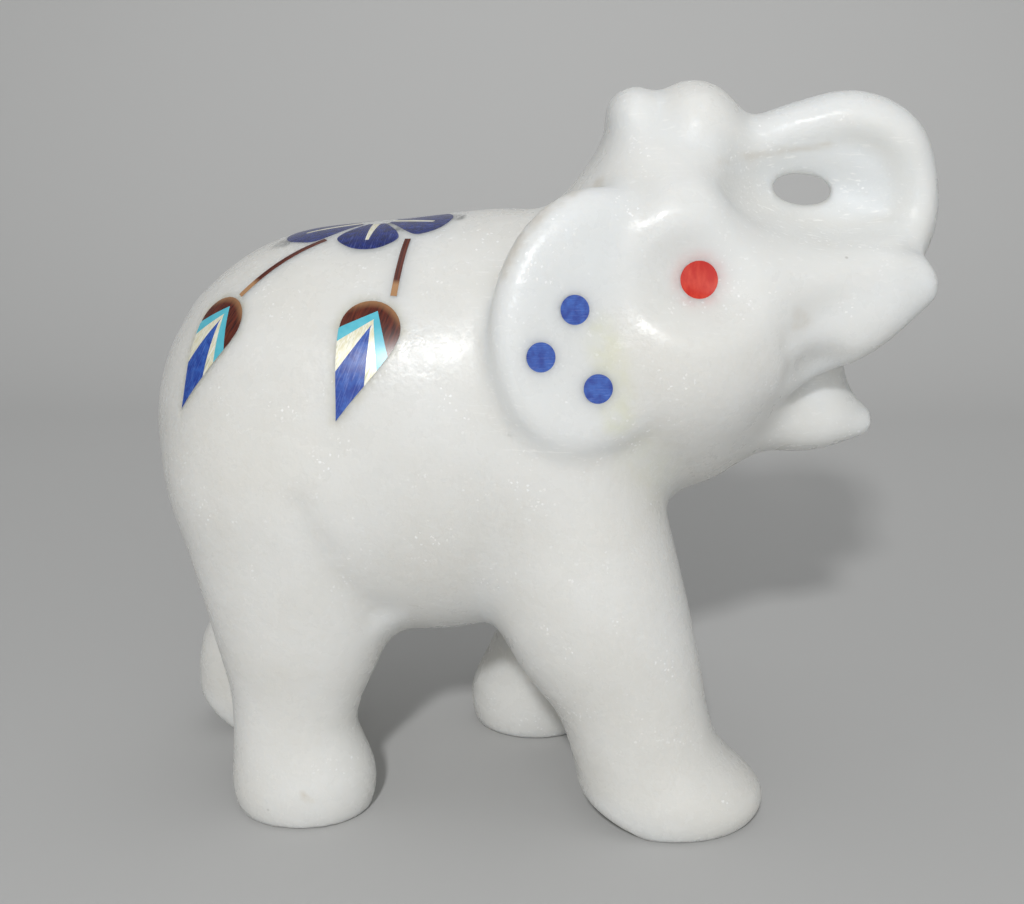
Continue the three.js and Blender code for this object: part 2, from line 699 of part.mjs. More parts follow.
function addStem(name, sideName, stem, frame) {
  const { start, end } = stem;
  const leave = turned([start, 0], stem[sideName]);
  const from = onFrame(flowerFrame, leave).place;
  const to = onFrame(frame, [-capDiameter / 2 + end[0], end[1]]).place;
  const rowsWithGap = (gap) => {
    const way = to.clone().sub(from);
    const trim = gap / way.length();
    return Array.from({ length: stemSteps + 1 }, (_, i) => {
      const share = trim + ((1 - 2 * trim) * i) / stemSteps;
      const place = settled(from.clone().addScaledVector(way, share).toArray());
      const normal = normalAt(place.toArray());
      const across = way.clone().cross(normal).normalize();
      return [-1, 1].map((hand) => {
        const edge = place.clone().addScaledVector(across, hand * (stemWidth * 0.5 - gap));
        return { place: settled(edge.toArray(), normal), normal };
      });
    });
  };
  addStone(name, rowsWithGap(glueGap), materials.agate);
  addPocket(rowsWithGap(0));
}

function addInlay() {
  addFlower();
  for (const sideName of Object.keys(sides)) {
    addRoundStones(sideName);
    for (const [name, bud] of Object.entries(buds)) {
      const frame = budFrame(sideName, bud);
      addBud(`${sideName}_${name}_bud`, frame);
      addStem(`${sideName}_${name}_stem`, sideName, stems[name], frame);
    }
  }
}

// The marble: the carved form, ground flat below, bored through the trunk's curl and pocketed

function marbleSolid() {
  const lines = [
    gridLines([-42, -4, 46].map((v) => v * k), [broadCell, fineCell]),
    gridLines([-22, -10, 10, 22].map((v) => v * k), [earCell, acrossCell, earCell]),
    gridLines([-7, 33, 80].map((v) => v * k), [broadCell, fineCell]),
  ];
  const carved = polygonised(lines);
  const floor = new THREE.BoxGeometry(2 * height, height, soleTrim * 2).translate(0, 0, -soleTrim);
  let solid = carved.subtract(solidOf(floor));
  solid = solid.subtract(solidOf(holeGeometry()));
  const cutter = pockets.reduce((all, pocket) => all.add(pocket));
  return solid.subtract(cutter);
}

// The small oval hole that is bored through the thin wall inside the trunk's curl
function holeGeometry() {
  const { centre, halfWidth, halfHeight, pitch } = hole;
  const geometry = new THREE.CylinderGeometry(k, k, height, holeSides);
  geometry.scale(halfWidth, 1, halfHeight).rotateY(-pitch * radians);
  return geometry.translate(...centre.map((value) => value * k));
}

addInlay();
const elephant = new THREE.Group();
const marble = geometryOf(marbleSolid());
marble.computeBoundingBox();
const { min: low, max: high } = marble.boundingBox;
const shift = [-(low.x + high.x) / 2, -(low.y + high.y) / 2, -low.z];

function addMesh(name, geometry, material) {
  geometry.translate(...shift);
  const mesh = new THREE.Mesh(geometry, material);
  mesh.name = name;
  elephant.add(mesh);
}

addMesh("marble_body", marble, materials.marble);
for (const { name, solid, material } of stones) addMesh(name, geometryOf(solid), material);

export default elephant;
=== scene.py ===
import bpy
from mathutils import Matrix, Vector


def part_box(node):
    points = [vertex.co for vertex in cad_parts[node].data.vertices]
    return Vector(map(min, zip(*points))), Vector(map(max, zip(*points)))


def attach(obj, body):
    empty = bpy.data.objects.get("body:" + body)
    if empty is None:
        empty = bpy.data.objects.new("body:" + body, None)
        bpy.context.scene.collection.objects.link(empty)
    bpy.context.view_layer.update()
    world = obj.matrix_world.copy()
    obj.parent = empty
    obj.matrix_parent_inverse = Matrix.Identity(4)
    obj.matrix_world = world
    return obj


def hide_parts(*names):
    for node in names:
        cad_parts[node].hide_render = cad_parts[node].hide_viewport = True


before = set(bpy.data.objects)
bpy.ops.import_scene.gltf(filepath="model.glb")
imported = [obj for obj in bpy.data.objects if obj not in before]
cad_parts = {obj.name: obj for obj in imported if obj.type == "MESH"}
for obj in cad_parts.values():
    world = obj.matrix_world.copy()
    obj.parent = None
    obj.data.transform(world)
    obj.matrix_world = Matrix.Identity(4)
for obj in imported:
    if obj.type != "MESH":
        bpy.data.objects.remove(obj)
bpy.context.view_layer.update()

import bmesh
import bpy
import numpy as np
from mathutils import Matrix

figure = {
    "height": 76.0,  # floor to the top of the trunk
    "drawnHeight": 74.4,  # the numbers of the form below are millimetres at this height
    "cell": 0.56,  # spacing of the fine surface's net
    "coarse": 4,  # cells between the points of the first, coarse look at the form
    "band": 5.0,  # the form is worked out closely within this distance of its surface
    "low": (-43.0, -23.0),  # corners of the net's box, in drawn millimetres
    "high": (47.0, 23.0, 79.0),
    "cellsBelow": 3.4,  # from the net's lowest points up to the floor
    "smoothRounds": 6,
    "smoothPulls": [0.5, -0.52],
    "creaseAngle": 50,
}
scale = figure["height"] / figure["drawnHeight"]
metres = 0.001


# Carved shapes are signed distances, negative inside. An ellipsoid, its front end raised by pitch:
# the scaled distance less one, evened out by its slope
def ball(p, centre, radii, pitch=0.0):
    c, s = np.cos(np.radians(pitch)), np.sin(np.radians(pitch))
    dx, dy, dz = p[0] - centre[0], p[1] - centre[1], p[2] - centre[2]
    dx, dz = c * dx + s * dz, c * dz - s * dx
    near = np.sqrt((dx / radii[0]) ** 2 + (dy / radii[1]) ** 2 + (dz / radii[2]) ** 2)
    steep = np.sqrt((dx / radii[0] ** 2) ** 2 + (dy / radii[1] ** 2) ** 2 + (dz / radii[2] ** 2) ** 2)
    return near * (near - 1) / np.maximum(steep, 1e-9)


# A cone with a ball at each end. Rows hold x, y, z and radius; flat is its width across over its height
def limb(p, a, b, flat=1.0):
    bx, by, bz = b[0] - a[0], (b[1] - a[1]) / flat, b[2] - a[2]
    px, py, pz = p[0] - a[0], (p[1] - a[1]) / flat, p[2] - a[2]
    long2 = bx * bx + by * by + bz * bz
    taper = a[3] - b[3]
    slope2 = long2 - taper * taper
    if slope2 <= 0:
        return np.sqrt(px * px + py * py + pz * pz) - a[3]
    along = px * bx + py * by + pz * bz
    past = along - long2
    off2 = (px * long2 - bx * along) ** 2 + (py * long2 - by * along) ** 2 + (pz * long2 - bz * along) ** 2
    limit = np.sign(taper) * taper * taper * off2
    d = (np.sqrt(off2 * slope2 / long2) + along * taper) / long2 - a[3]
    before = np.sign(along) * slope2 * along * along * long2 < limit
    beyond = np.sign(past) * slope2 * past * past * long2 > limit
    d = np.where(before, np.sqrt(off2 + along * along * long2) / long2 - a[3], d)
    return np.where(beyond, np.sqrt(off2 + past * past * long2) / long2 - b[3], d)


# An oval bore from side to side: the same distance with nothing across
def bore(p, centre, radii, pitch):
    flat = (p[0], 0 * p[1] + centre[1], p[2])
    return ball(flat, centre, (radii[0], 1.0, radii[1]), pitch)


# Joins two shapes with a fillet about as wide as soft: the lesser distance, less more where they are alike
def join(a, b, soft):
    h = np.maximum(soft - np.abs(a - b), 0) / soft
    return np.minimum(a, b) - h * h * soft / 4


def cut(a, b, soft):
    return -join(-a, b, soft)


# Both sides of the figure as its right side
def mirrored(p):
    return p[0], -np.abs(p[1]), p[2]


# A Catmull-Rom curve through the rows, with that many steps between two of them: each run is a cubic
# that leaves a row along the line between its neighbours
def eased(rows, steps):
    rows = np.asarray(rows, float)
    padded = np.vstack([2 * rows[0] - rows[1], rows, 2 * rows[-1] - rows[-2]])
    t = (np.arange(steps) / steps)[:, None]
    runs = [
        0.5 * (2 * b + (c - a) * t + (2 * a - 5 * b + 4 * c - d) * t**2 + (3 * b - a - 3 * c + d) * t**3)
        for a, b, c, d in zip(padded, padded[1:], padded[2:], padded[3:])
    ]
    return np.vstack([*runs, rows[-1:]])


# Cones along a curve through the rows, or from row to row
def chain(p, rows, flat=1.0, steps=4):
    path = eased(rows, steps) if steps > 1 else rows
    d = limb(p, path[0], path[1], flat)
    for a, b in zip(path[1:], path[2:]):
        d = np.minimum(d, limb(p, a, b, flat))
    return d


# The torso: a rump, a chest and a belly, each a ball
torsoForm = {
    "rump": ((-16.3, 0, 39.6), (20.7, 17, 20.6), 3),
    "chest": ((1, 0, 42), (17, 15.6, 19.8)),
    "belly": ((-8, 0, 33.5), (17, 15.2, 15.4)),
}


def torso(p):
    d = join(ball(p, *torsoForm["rump"]), ball(p, *torsoForm["chest"]), fillets["chest"])
    return join(d, ball(p, *torsoForm["belly"]), fillets["belly"])


# The legs, in mid step. A lifted heel is cut by a plane that rises behind heelX
legForms = {
    "rightFront": {
        "path": [(4, -7.6, 37, 10.2), (8, -9.2, 24, 9.7), (11.6, -9.9, 15.9, 8), (13.3, -10.2, 10.2, 7.4),
                 (14.9, -10.3, 4.2, 7.6)],
        "flat": 0.86,
        "toe": ((18.6, -10.3, 2.4), (7.9, 6.7, 4.4)),
        "heelX": 13.5,
        "heelRise": 0.42,
    },
    "rightRear": {
        "path": [(-21, -7, 35, 13.2), (-21.5, -8.6, 22, 9.4), (-22.2, -9.3, 14.4, 7), (-22.5, -9.6, 9, 6.5),
                 (-21.8, -9.7, 3.2, 7.6)],
        "flat": 0.8,
    },
    "leftFront": {
        "path": [(4, 7.6, 37, 10.2), (5.6, 9, 23, 8.6), (5.2, 9.8, 13.5, 6.8), (3.6, 10.4, 8, 6.6),
                 (2.4, 10.6, 3.2, 7.5)],
        "flat": 0.86,
    },
    "leftRear": {
        "path": [(-21, 7, 35, 13.2), (-23, 8.6, 23, 9.4), (-27.2, 9.4, 14.5, 6.9), (-30.6, 9.8, 8.8, 6.7),
                 (-30.6, 9.9, 3.6, 7.2)],
        "flat": 0.8,
        "heelX": -32.5,
        "heelRise": 0.75,
    },
}

# How wide each part's fillet is where it meets what is there before it
fillets = {
    "chest": 9, "belly": 5, "leg": 3, "toe": 4, "heel": 1,
    "jaw": 6, "trunk": 3, "web": 2, "lip": 2.5, "throat": 2.5, "knob": 1.6, "crest": 3.5, "cheekBall": 3,
    "muzzle": 4, "forehead": 4, "cheek": 3, "brow": 3, "tusk": 2.4,
    "head": 3, "ear": 1.6, "tail": 1, "bowl": 4, "hole": 0.8, "socket": 2.5, "mouthCorner": 2,
}


def leg(p, shape):
    d = chain(p, shape["path"], shape["flat"])
    if "toe" in shape:
        d = join(d, ball(p, *shape["toe"]), fillets["toe"])
    if "heelX" in shape:
        rise = shape["heelRise"]
        plane = (p[2] - rise * (shape["heelX"] - p[0])) / np.hypot(1, rise)
        d = cut(d, plane, fillets["heel"])
    return d


headForm = {
    "skull": ((14.5, 0, 56.5), (11.5, 12, 11.5)),
    "jaw": ((15.5, 0, 46), (12.6, 12.4, 13), 8),
    "cheekBall": ((15, -6, 48.4), (13, 10.2, 9.8), 10),
    "muzzle": [(23, -6.2, 54.2, 5.6), (35.2, -5.4, 57.2, 3.6)],  # fills between the trunk and each tusk
    "forehead": [(15, -3.6, 62.4, 5.6), (24.5, -2.6, 61.4, 5.6)],
    "trunk": [(18, 0, 58, 9.5), (28, 0, 57.4, 6), (35.6, 0, 57.6, 4.4), (38.9, 0, 60.4, 3.4),
              (39.2, 0, 65.2, 2.9), (37.4, 0, 69, 2.9), (33.3, 0, 70.7, 2.8), (28.3, 0, 69.7, 2.7),
              (23, 0, 68, 2.8), (18.5, 0, 69, 3.6)],
    "web": ((28.6, 0, 63.6), (11, 5.4, 6.4)),  # the thin wall inside the trunk's curl
    "lip": [(24, 0, 42.5, 5), (30.5, 0, 40.4, 3.4), (35.9, 0, 40.2, 1.7)],
    "throat": [(28, 0, 51, 4.6), (32.4, 0, 42.6, 2.8)],
    "crest": [(13.6, 0, 62, 4.6), (12.2, 0, 70.8, 3)],
    "knob": ((17.6, 0, 69.8), (4.3, 5.6, 4.4)),
    "cheek": [(12.6, -10.6, 54.2, 2.6), (18, -10.8, 51.6, 3), (24.5, -8.2, 48.6, 2.6)],
    "brow": [(11.6, -10.6, 58, 1.8), (14.5, -10.4, 62, 1.9), (19, -9.2, 62.6, 1.9), (24.5, -6.8, 60, 1.7)],
    "tusk": [(27.6, -6.8, 49.6, 4), (33.4, -7, 52, 3.7), (39.2, -6.6, 55.2, 2.2)],
    "socket": ((18.6, -17, 57.2), (7.4, 4.4, 4.4), -4),  # the hollow that the eye lies in
    "bowl": ((30.2, -8.8, 64.2), (9.6, 8.2, 4.4), -6),  # scooped from each side, leaving a thin wall
    "hole": ((28.9, 0, 63.9), (2.95, 1.5), -8),  # bored through the thin wall
}


# The head's parts, joined in this order, those at the sides mirrored
def head(p):
    side = mirrored(p)
    crest = join(chain(p, headForm["crest"], 1.6, 1), ball(p, *headForm["knob"]), fillets["knob"])
    parts = {
        "jaw": ball(p, *headForm["jaw"]),
        "trunk": chain(p, headForm["trunk"], 1.3),
        "web": ball(p, *headForm["web"]),
        "lip": chain(p, headForm["lip"], 1.3),
        "throat": chain(p, headForm["throat"], steps=1),
        "crest": crest,
        "cheekBall": ball(side, *headForm["cheekBall"]),
        "muzzle": chain(side, headForm["muzzle"], steps=1),
        "forehead": chain(side, headForm["forehead"], steps=1),
        "cheek": chain(side, headForm["cheek"]),
        "brow": chain(side, headForm["brow"]),
        "tusk": chain(side, headForm["tusk"], 0.85),
    }
    d = ball(p, *headForm["skull"])
    for name, part in parts.items():
        d = join(d, part, fillets[name])
    return d


earForm = {
    "centre": (7.6, -12.6, 52.8),
    "leftDrop": 3,  # the left ear is carved lower than the right one
    "halfWidth": 9.4,
    "halfHeight": 12.3,
    "halfThickness": 2.4,
    "tilt": -6,
    "leanIn": 11,  # the top leans in to the head
    "turnIn": 15,  # and so does the front edge
    "edge": 3.4,
}


# An ear: the distance to an oval in a plane that leans in to the head, cut off on both sides of it
def earFlap(p):
    drop = np.where(p[1] > 0, earForm["leftDrop"], 0)
    dx, dz = p[0] - earForm["centre"][0], p[2] - earForm["centre"][2] + drop
    lean, turnIn, tilt = (np.radians(earForm[name]) for name in ("leanIn", "turnIn", "tilt"))
    out = -np.abs(p[1]) - earForm["centre"][1] - np.tan(lean) * dz - np.tan(turnIn) * dx
    out = out * np.cos(lean) * np.cos(turnIn)
    u = (np.cos(tilt) * dx + np.sin(tilt) * dz) / earForm["halfWidth"]
    w = (np.cos(tilt) * dz - np.sin(tilt) * dx) / earForm["halfHeight"]
    near = np.hypot(u, w)
    rim = near * (near - 1) / np.maximum(np.hypot(u / earForm["halfWidth"], w / earForm["halfHeight"]), 1e-9)
    return cut(rim, earForm["halfThickness"] - np.abs(out), earForm["edge"])


tailRows = [(-31, 0, 51.5, 1.6), (-34.6, 0, 45, 1.6), (-35.9, 0.4, 39, 1.6), (-35.2, 0.8, 34, 1.5)]


# Fine relief, the same on both sides. A groove lies under its line, less deep the more its radius
# falls below 0; soft is how wide its sides run out
grooves = [
    # before a hind leg
    ([(-19.4, -17.8, 35.7, -1.6), (-16.6, -16.5, 28.7, -1.2), (-13.2, -13.7, 23.4, -1.2)], 5),
    # over a tusk's tip
    ([(35.4, -7.2, 59.5, -0.3), (37.4, -7.2, 59.3, 0), (39.2, -5.6, 58.8, 0)], 1.4),
    # behind the corner of the mouth
    ([(25.9, -12.2, 51.2, -0.5), (26.8, -10.4, 46.4, -0.4)], 1.6),
]
mouthCorner = ((30.4, -11.6, 46.8), (3.2, 3.4, 3.2))


def relief(side, d):
    d = cut(d, ball(side, *mouthCorner), fillets["mouthCorner"])
    for rows, soft in grooves:
        d = cut(d, chain(side, rows, steps=1), soft)
    return d


# The whole carving at its finished size, for points as rows of x, y and z
def form(points):
    p = (points / scale).T
    side = mirrored(p)
    d = torso(p)
    for shape in legForms.values():
        d = join(d, leg(p, shape), fillets["leg"])
    d = join(d, head(p), fillets["head"])
    d = join(d, earFlap(p), fillets["ear"])
    d = join(d, chain(p, tailRows), fillets["tail"])
    d = cut(d, ball(side, *headForm["bowl"]), fillets["bowl"])
    d = cut(d, bore(p, *headForm["hole"]), fillets["hole"])
    d = cut(d, ball(side, *headForm["socket"]), fillets["socket"])
    return scale * relief(side, d)


# The direction in which the distance grows
def normalsAt(points):
    reach = 0.12
    steps = np.eye(3) * reach
    slope = np.stack([form(points + step) - form(points - step) for step in steps], -1)
    return slope / np.linalg.norm(slope, axis=-1, keepdims=True)


# Points moved along a direction each, or along the normal, until they lie on the form
def settled(points, directions=None):
    reach, rounds, leastSlope = 0.1, 8, 0.3
    for _ in range(rounds):
        d = form(points)
        if directions is None:
            points = points - normalsAt(points) * d[:, None]
            continue
        slope = (form(points + directions * reach) - d) / reach
        points = points - directions * (d / np.maximum(slope, leastSlope))[:, None]
    return points


# The distance at every corner of the net's cells, worked out closely only near the surface
def carvedValues(low, counts):
    cell, coarse = figure["cell"], figure["coarse"]
    coarseAxes = [low[i] + cell * coarse * np.arange(counts[i] // coarse + 1) for i in range(3)]
    coarsePoints = np.stack(np.meshgrid(*coarseAxes, indexing="ij"), -1)
    rough = form(coarsePoints.reshape(-1, 3)).reshape(coarsePoints.shape[:3])
    nearest = [np.rint(np.arange(counts[i] + 1) / coarse).astype(int) for i in range(3)]
    values = rough[np.ix_(*nearest)]
    close = np.argwhere(np.abs(values) < figure["band"])
    fine = form(low + close * cell)
    values[tuple(close.T)] = np.maximum(fine, -(low[2] + close[:, 2] * cell))
    return values


# The fine surface: a net of one vertex in each cell that the surface passes through, at the middle
# of the crossings on the cell's edges, and a face round each grid edge that it crosses
def surfaceNet(values):
    inside = values < 0
    cellShape = tuple(n - 1 for n in values.shape)
    full = np.zeros(cellShape, int)
    for i in range(8):
        x, y, z = i & 1, i >> 1 & 1, i >> 2
        full += inside[x : cellShape[0] + x, y : cellShape[1] + y, z : cellShape[2] + z]
    cells = np.argwhere((full > 0) & (full < 8))
    total, hits = np.zeros(cells.shape), np.zeros(len(cells))
    for axis in range(3):
        for edge in range(4):
            start = cells.copy()
            start[:, (axis + 1) % 3] += edge & 1
            start[:, (axis + 2) % 3] += edge >> 1
            end = start + np.eye(3, dtype=int)[axis]
            a, b = values[tuple(start.T)], values[tuple(end.T)]
            crossed = (a < 0) != (b < 0)
            share = np.where(crossed, a / np.where(crossed, a - b, 1), 0)
            total += np.where(crossed[:, None], start + share[:, None] * np.eye(3)[axis], 0)
            hits += crossed
    number = np.full(cellShape, -1)
    number[tuple(cells.T)] = np.arange(len(cells))
    quads = []
    for axis in range(3):
        b, c = np.eye(3, dtype=int)[(axis + 1) % 3], np.eye(3, dtype=int)[(axis + 2) % 3]
        lower = np.take(inside, range(values.shape[axis] - 1), axis)
        upper = np.take(inside, range(1, values.shape[axis]), axis)
        nodes = np.argwhere(lower != upper)
        around = [nodes, nodes - b, nodes - b - c, nodes - c]
        ring = np.stack([number[tuple(corner.T)] for corner in around], -1)
        starts = lower[tuple(nodes.T)]
        quads.append(np.where(starts[:, None], ring, ring[:, ::-1]))
    return total / hits[:, None], np.vstack(quads)


# Takes out the net's ripple: each vertex goes towards its neighbours' middle, then a little more back
def smoothed(vertices, quads, rounds):
    a, b = quads.ravel(), np.roll(quads, -1, 1).ravel()
    degree = np.bincount(a) + np.bincount(b)
    for pull in figure["smoothPulls"] * rounds:
        sums = [np.bincount(a, vertices[b, i]) + np.bincount(b, vertices[a, i]) for i in range(3)]
        vertices = vertices + pull * (np.stack(sums, -1) / degree[:, None] - vertices)
    return vertices


def meshFrom(name, points, faces):
    mesh = bpy.data.meshes.new(name)
    mesh.from_pydata(points, [], faces)
    mesh.update()
    return mesh


def addPiece(name, mesh, material, nodes):
    piece = bpy.data.objects.new(name, mesh)
    bpy.context.scene.collection.objects.link(piece)
    mesh.materials.clear()
    mesh.materials.append(material)
    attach(piece, "root")
    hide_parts(*nodes)


# The inlay. Each group of stones has a frame on the surface: across runs forward, and rise runs up
# a side, or to the left on the back.
inlay = {
    "eyeDiameter": 3.6,
    "dotDiameter": 2.8,
    "eyePlace": (17.66, 12.28, 56.64),
    "dotPlaces": {"upper": (6.15, 15.23, 54.3), "middle": (3.08, 16.84, 50.2), "lower": (8.35, 16.05, 47.1)},
    "thickness": 1.2,
    "bedDepth": 1.3,
    "cutterHeight": 1.5,  # how far the beds' cutters stand out of the surface
    "chords": 32,  # of a round stone, and the columns across it
    "columns": 16,
    "edgeAngle": 40,
}
sides = {"right": -1, "left": 1}


def surfaceFrames(places, up):
    origins = settled(np.array(places) * scale)
    normals = normalsAt(origins)
    up = np.array(up, float)
    rises = up - normals * (normals @ up)[:, None]
    rises /= np.linalg.norm(rises, axis=1, keepdims=True)
    across = np.cross(rises, normals)
    across *= np.where(across[:, :1] < 0, -1, 1)
    keys = ("origin", "normal", "across", "rise")
    return [dict(zip(keys, rows)) for rows in zip(origins, normals, across, rises)]


# Stones that wait to be laid on the surface, each a grid of places on its frame
stones = []
beds = []


def layStone(name, grid, frameOn, kind, laid=None):
    laid = grid if laid is None else laid
    stones.append({"name": name, "grid": grid, "frame": frameOn, "kind": kind, "laid": laid})


def layBed(grid, frameOn, yellowGlue=False):
    beds.append({"grid": grid, "frame": frameOn, "yellowGlue": yellowGlue})


# The grids of all stones and beds set down on the form at once, along their frames' normals
def settleAll(laid):
    flat, normals = [], []
    for item in laid:
        on = item["frame"]
        places = on["origin"] + item["grid"][..., :1] * on["across"] + item["grid"][..., 1:] * on["rise"]
        flat.append(places.reshape(-1, 3))
        normals.append(np.broadcast_to(on["normal"], flat[-1].shape))
    down = settled(np.vstack(flat), np.vstack(normals))
    ends = np.cumsum([len(part) for part in flat])[:-1]
    for item, top in zip(laid, np.split(down, ends)):
        item["top"] = top.reshape(*item["grid"].shape[:2], 3)
        item["normals"] = np.broadcast_to(item["frame"]["normal"], item["top"].shape)


# Values on the vertices, one or three to each
def setAttribute(mesh, name, values):
    values = np.ascontiguousarray(values, dtype=np.float32)
    isVector = values.size > len(mesh.vertices)
    attribute = mesh.attributes.new(name, "FLOAT_VECTOR" if isVector else "FLOAT", "POINT")
    attribute.data.foreach_set("vector" if isVector else "value", values.ravel())


# A closed slab: the grid raised by over, the grid lowered by under, and a wall round both
def slabMesh(name, top, normals, over, under, shift, marks=None):
    rows, cols = top.shape[:2]
    number = np.arange(rows * cols).reshape(rows, cols)
    corners = [number[:-1, :-1], number[1:, :-1], number[1:, 1:], number[:-1, 1:]]
    upper = np.stack(corners, -1).reshape(-1, 4)
    lower = upper[:, ::-1] + rows * cols
    rim = np.concatenate([number[0, :-1], number[:-1, -1], number[-1, :0:-1], number[:0:-1, 0]])
    following = np.roll(rim, -1)
    wall = np.stack([rim, following, following + rows * cols, rim + rows * cols], -1)
    points = np.concatenate([(top + normals * over).reshape(-1, 3), (top - normals * under).reshape(-1, 3)])
    mesh = meshFrom(name, (points + shift) * metres, np.vstack([upper, lower, wall]).tolist())
    for mark, values in (marks or {}).items():
        setAttribute(mesh, mark, np.concatenate([values.reshape(rows * cols, -1)] * 2))
    made = bmesh.new()
    made.from_mesh(mesh)
    bmesh.ops.remove_doubles(made, verts=made.verts, dist=2e-6)
    bmesh.ops.dissolve_degenerate(made, edges=made.edges, dist=1e-6)
    bmesh.ops.recalc_face_normals(made, faces=made.faces)
    made.to_mesh(mesh)
    made.free()
    mesh.shade_smooth()
    mesh.set_sharp_from_angle(angle=np.radians(inlay["edgeAngle"]))
    return mesh


def mixed(a, b, t):
    return np.asarray(a) + (np.asarray(b) - np.asarray(a)) * t


# A grid between two outlines of as many points, with a share across it for each column
def between(left, right, columns):
    t = np.linspace(0, 1, columns + 1)[None, :, None]
    return mixed(np.asarray(left)[:, None], np.asarray(right)[:, None], t)


# A round stone: chords across a circle, closed at both ends
def discGrid(diameter):
    turn = np.linspace(0, np.pi, inlay["chords"] + 1)
    half = np.stack([-np.cos(turn), np.sin(turn)], -1) * diameter / 2
    half[[0, -1], 1] = 0
    return between(half, half * [1, -1], inlay["columns"])


def layRoundStones():
    places, kinds = [], []
    for sideName, hand in sides.items():
        drop = earForm["leftDrop"] if sideName == "left" else 0
        named = {"eye": inlay["eyePlace"]}
        named.update({f"ear_dot_{name}": (x, y, z - drop) for name, (x, y, z) in inlay["dotPlaces"].items()})
        for name, (x, y, z) in named.items():
            places.append((x, y * hand, z))
            kinds.append((f"{sideName}_{name}", name == "eye"))
    for (name, isEye), on in zip(kinds, surfaceFrames(places, (0, 0, 1))):
        grid = discGrid(inlay["eyeDiameter"] if isEye else inlay["dotDiameter"])
        layStone(name, grid, on, "coral" if isEye else "lapis")
        layBed(grid, on)


flower = {
    "place": (-13.3, 0, 61),
    "hub": 1.5,
    "petalWidth": 6.3,
    "slotWidth": 0.8,
    "slotTip": 0.34,
    "slotReach": 0.8,
    "outlineSteps": 6,  # between two rows of the shape
    "columns": {"petal": 8, "sliver": 4, "bed": 12},
    # Along a petal, the share of its length and of its half width
    "shape": [(0.2, 0.28), (0.4, 0.6), (0.6, 0.9), (0.76, 1), (0.9, 0.74), (1, 0.3)],
    # The direction and the length of each petal
    "petals": {"rear": (-166, 9.7), "right_rear": (-99, 7.2), "left_rear": (121, 7.4),
               "right_front": (-26, 8), "left_front": (47, 7.8)},
}


def turned(grid, degrees):
    c, s = np.cos(np.radians(degrees)), np.sin(np.radians(degrees))
    return grid @ np.array([[c, s], [-s, c]])


# A petal is the strip between its rounded outline and the slot down its middle
def petalGrids(length):
    shape = np.array(flower["shape"])
    shape[0, 0] = max(flower["hub"] / length, shape[0, 0])
    half = shape * [length, flower["petalWidth"] / 2]
    outline = eased(np.vstack([half, half[::-1] * [1, -1]]), flower["outlineSteps"])
    middle = len(outline) // 2
    ends = [(half[0, 0], flower["slotWidth"] / 2), (flower["slotReach"] * length, flower["slotTip"] / 2)]
    t = np.linspace(0, 1, middle + 1)[:, None]
    slot = mixed(ends[0], ends[1], t)
    around = np.vstack([slot[:-1], [(ends[1][0], 0)], slot[-2::-1] * [1, -1]])
    columns = flower["columns"]
    petal = between(outline, around, columns["petal"])
    sliver = between(slot, slot * [1, -1], columns["sliver"])
    whole = between(outline[: middle + 1], outline[: middle + 1] * [1, -1], columns["bed"])
    return petal, sliver, whole


def layFlower(on):
    for name, (angle, length) in flower["petals"].items():
        petal, sliver, whole = petalGrids(length)
        layStone(f"petal_{name}", turned(petal, angle), on, "darkLapis", petal)
        layStone(f"petal_{name}_sliver", turned(sliver, angle), on, "pearl", sliver)
        layBed(turned(whole, angle), on)


bud = {
    "capDiameter": 5.9,
    "taper": 9.3,  # from the middle of the round end to the tip
    "taperStart": 0.02,  # the share of it from which a bed's rows are spread evenly
    "bulge": 0.1,
    "back": 0.23,  # from the round end's middle to the frame's origin, as a share of the taper
    "seams": {"rear": ([-0.215, -0.12, -0.06], [0.08, 0.23, 0.53]),
              "front": ([-0.215, -0.1, -0.01], [0.21, 0.385, 0.57])},
    "places": {"flank": ((-13.6, 14.75, 50.4), 18.6), "rump": ((-29.2, 10.2, 50.2), 12.3)},
    # Where a stem leaves the flower, and how far past the round end of its bud it stops
    "stems": {"flank": ({"right": -62, "left": 84}, 7, (-1, 0.8)),
              "rump": ({"right": -137, "left": 158}, 7, (-0.45, 0.3))},
    "stemWidth": 0.62,
    "stemSteps": (24, 4),  # along a stem and across it
    "rimSteps": 14,  # along a stone's edge on the bud's rim
    "bedSteps": (21, 12),  # down the tapered part of a bud's bed and across it
}
budRadius = bud["capDiameter"] / 2
capTop = -budRadius / bud["taper"]


# The bud's outline: a circle's arc, then a straight taper that swells by a half sine
def onRim(share, hand):
    along = share * bud["taper"]
    slope = budRadius / bud["taper"]
    arc = np.sqrt(np.maximum(budRadius**2 - along**2, 0))
    swell = 1 + bud["bulge"] * np.sin(np.pi * share)
    straight = (bud["taper"] - along) * slope / np.sqrt(1 - slope**2) * swell
    return np.stack([along, hand * np.where(along < slope * budRadius, arc, straight)], -1)


# A fan of seams: lines that start on the bud's axis and end on its rim
def fan(starts, rim, steps=12):
    starts = np.asarray(starts) * bud["taper"]
    axis = np.stack([starts, np.zeros(len(starts))], -1)
    s = np.linspace(0, 1, steps + 1)[:, None, None]
    return mixed(axis[None], rim[None], s)


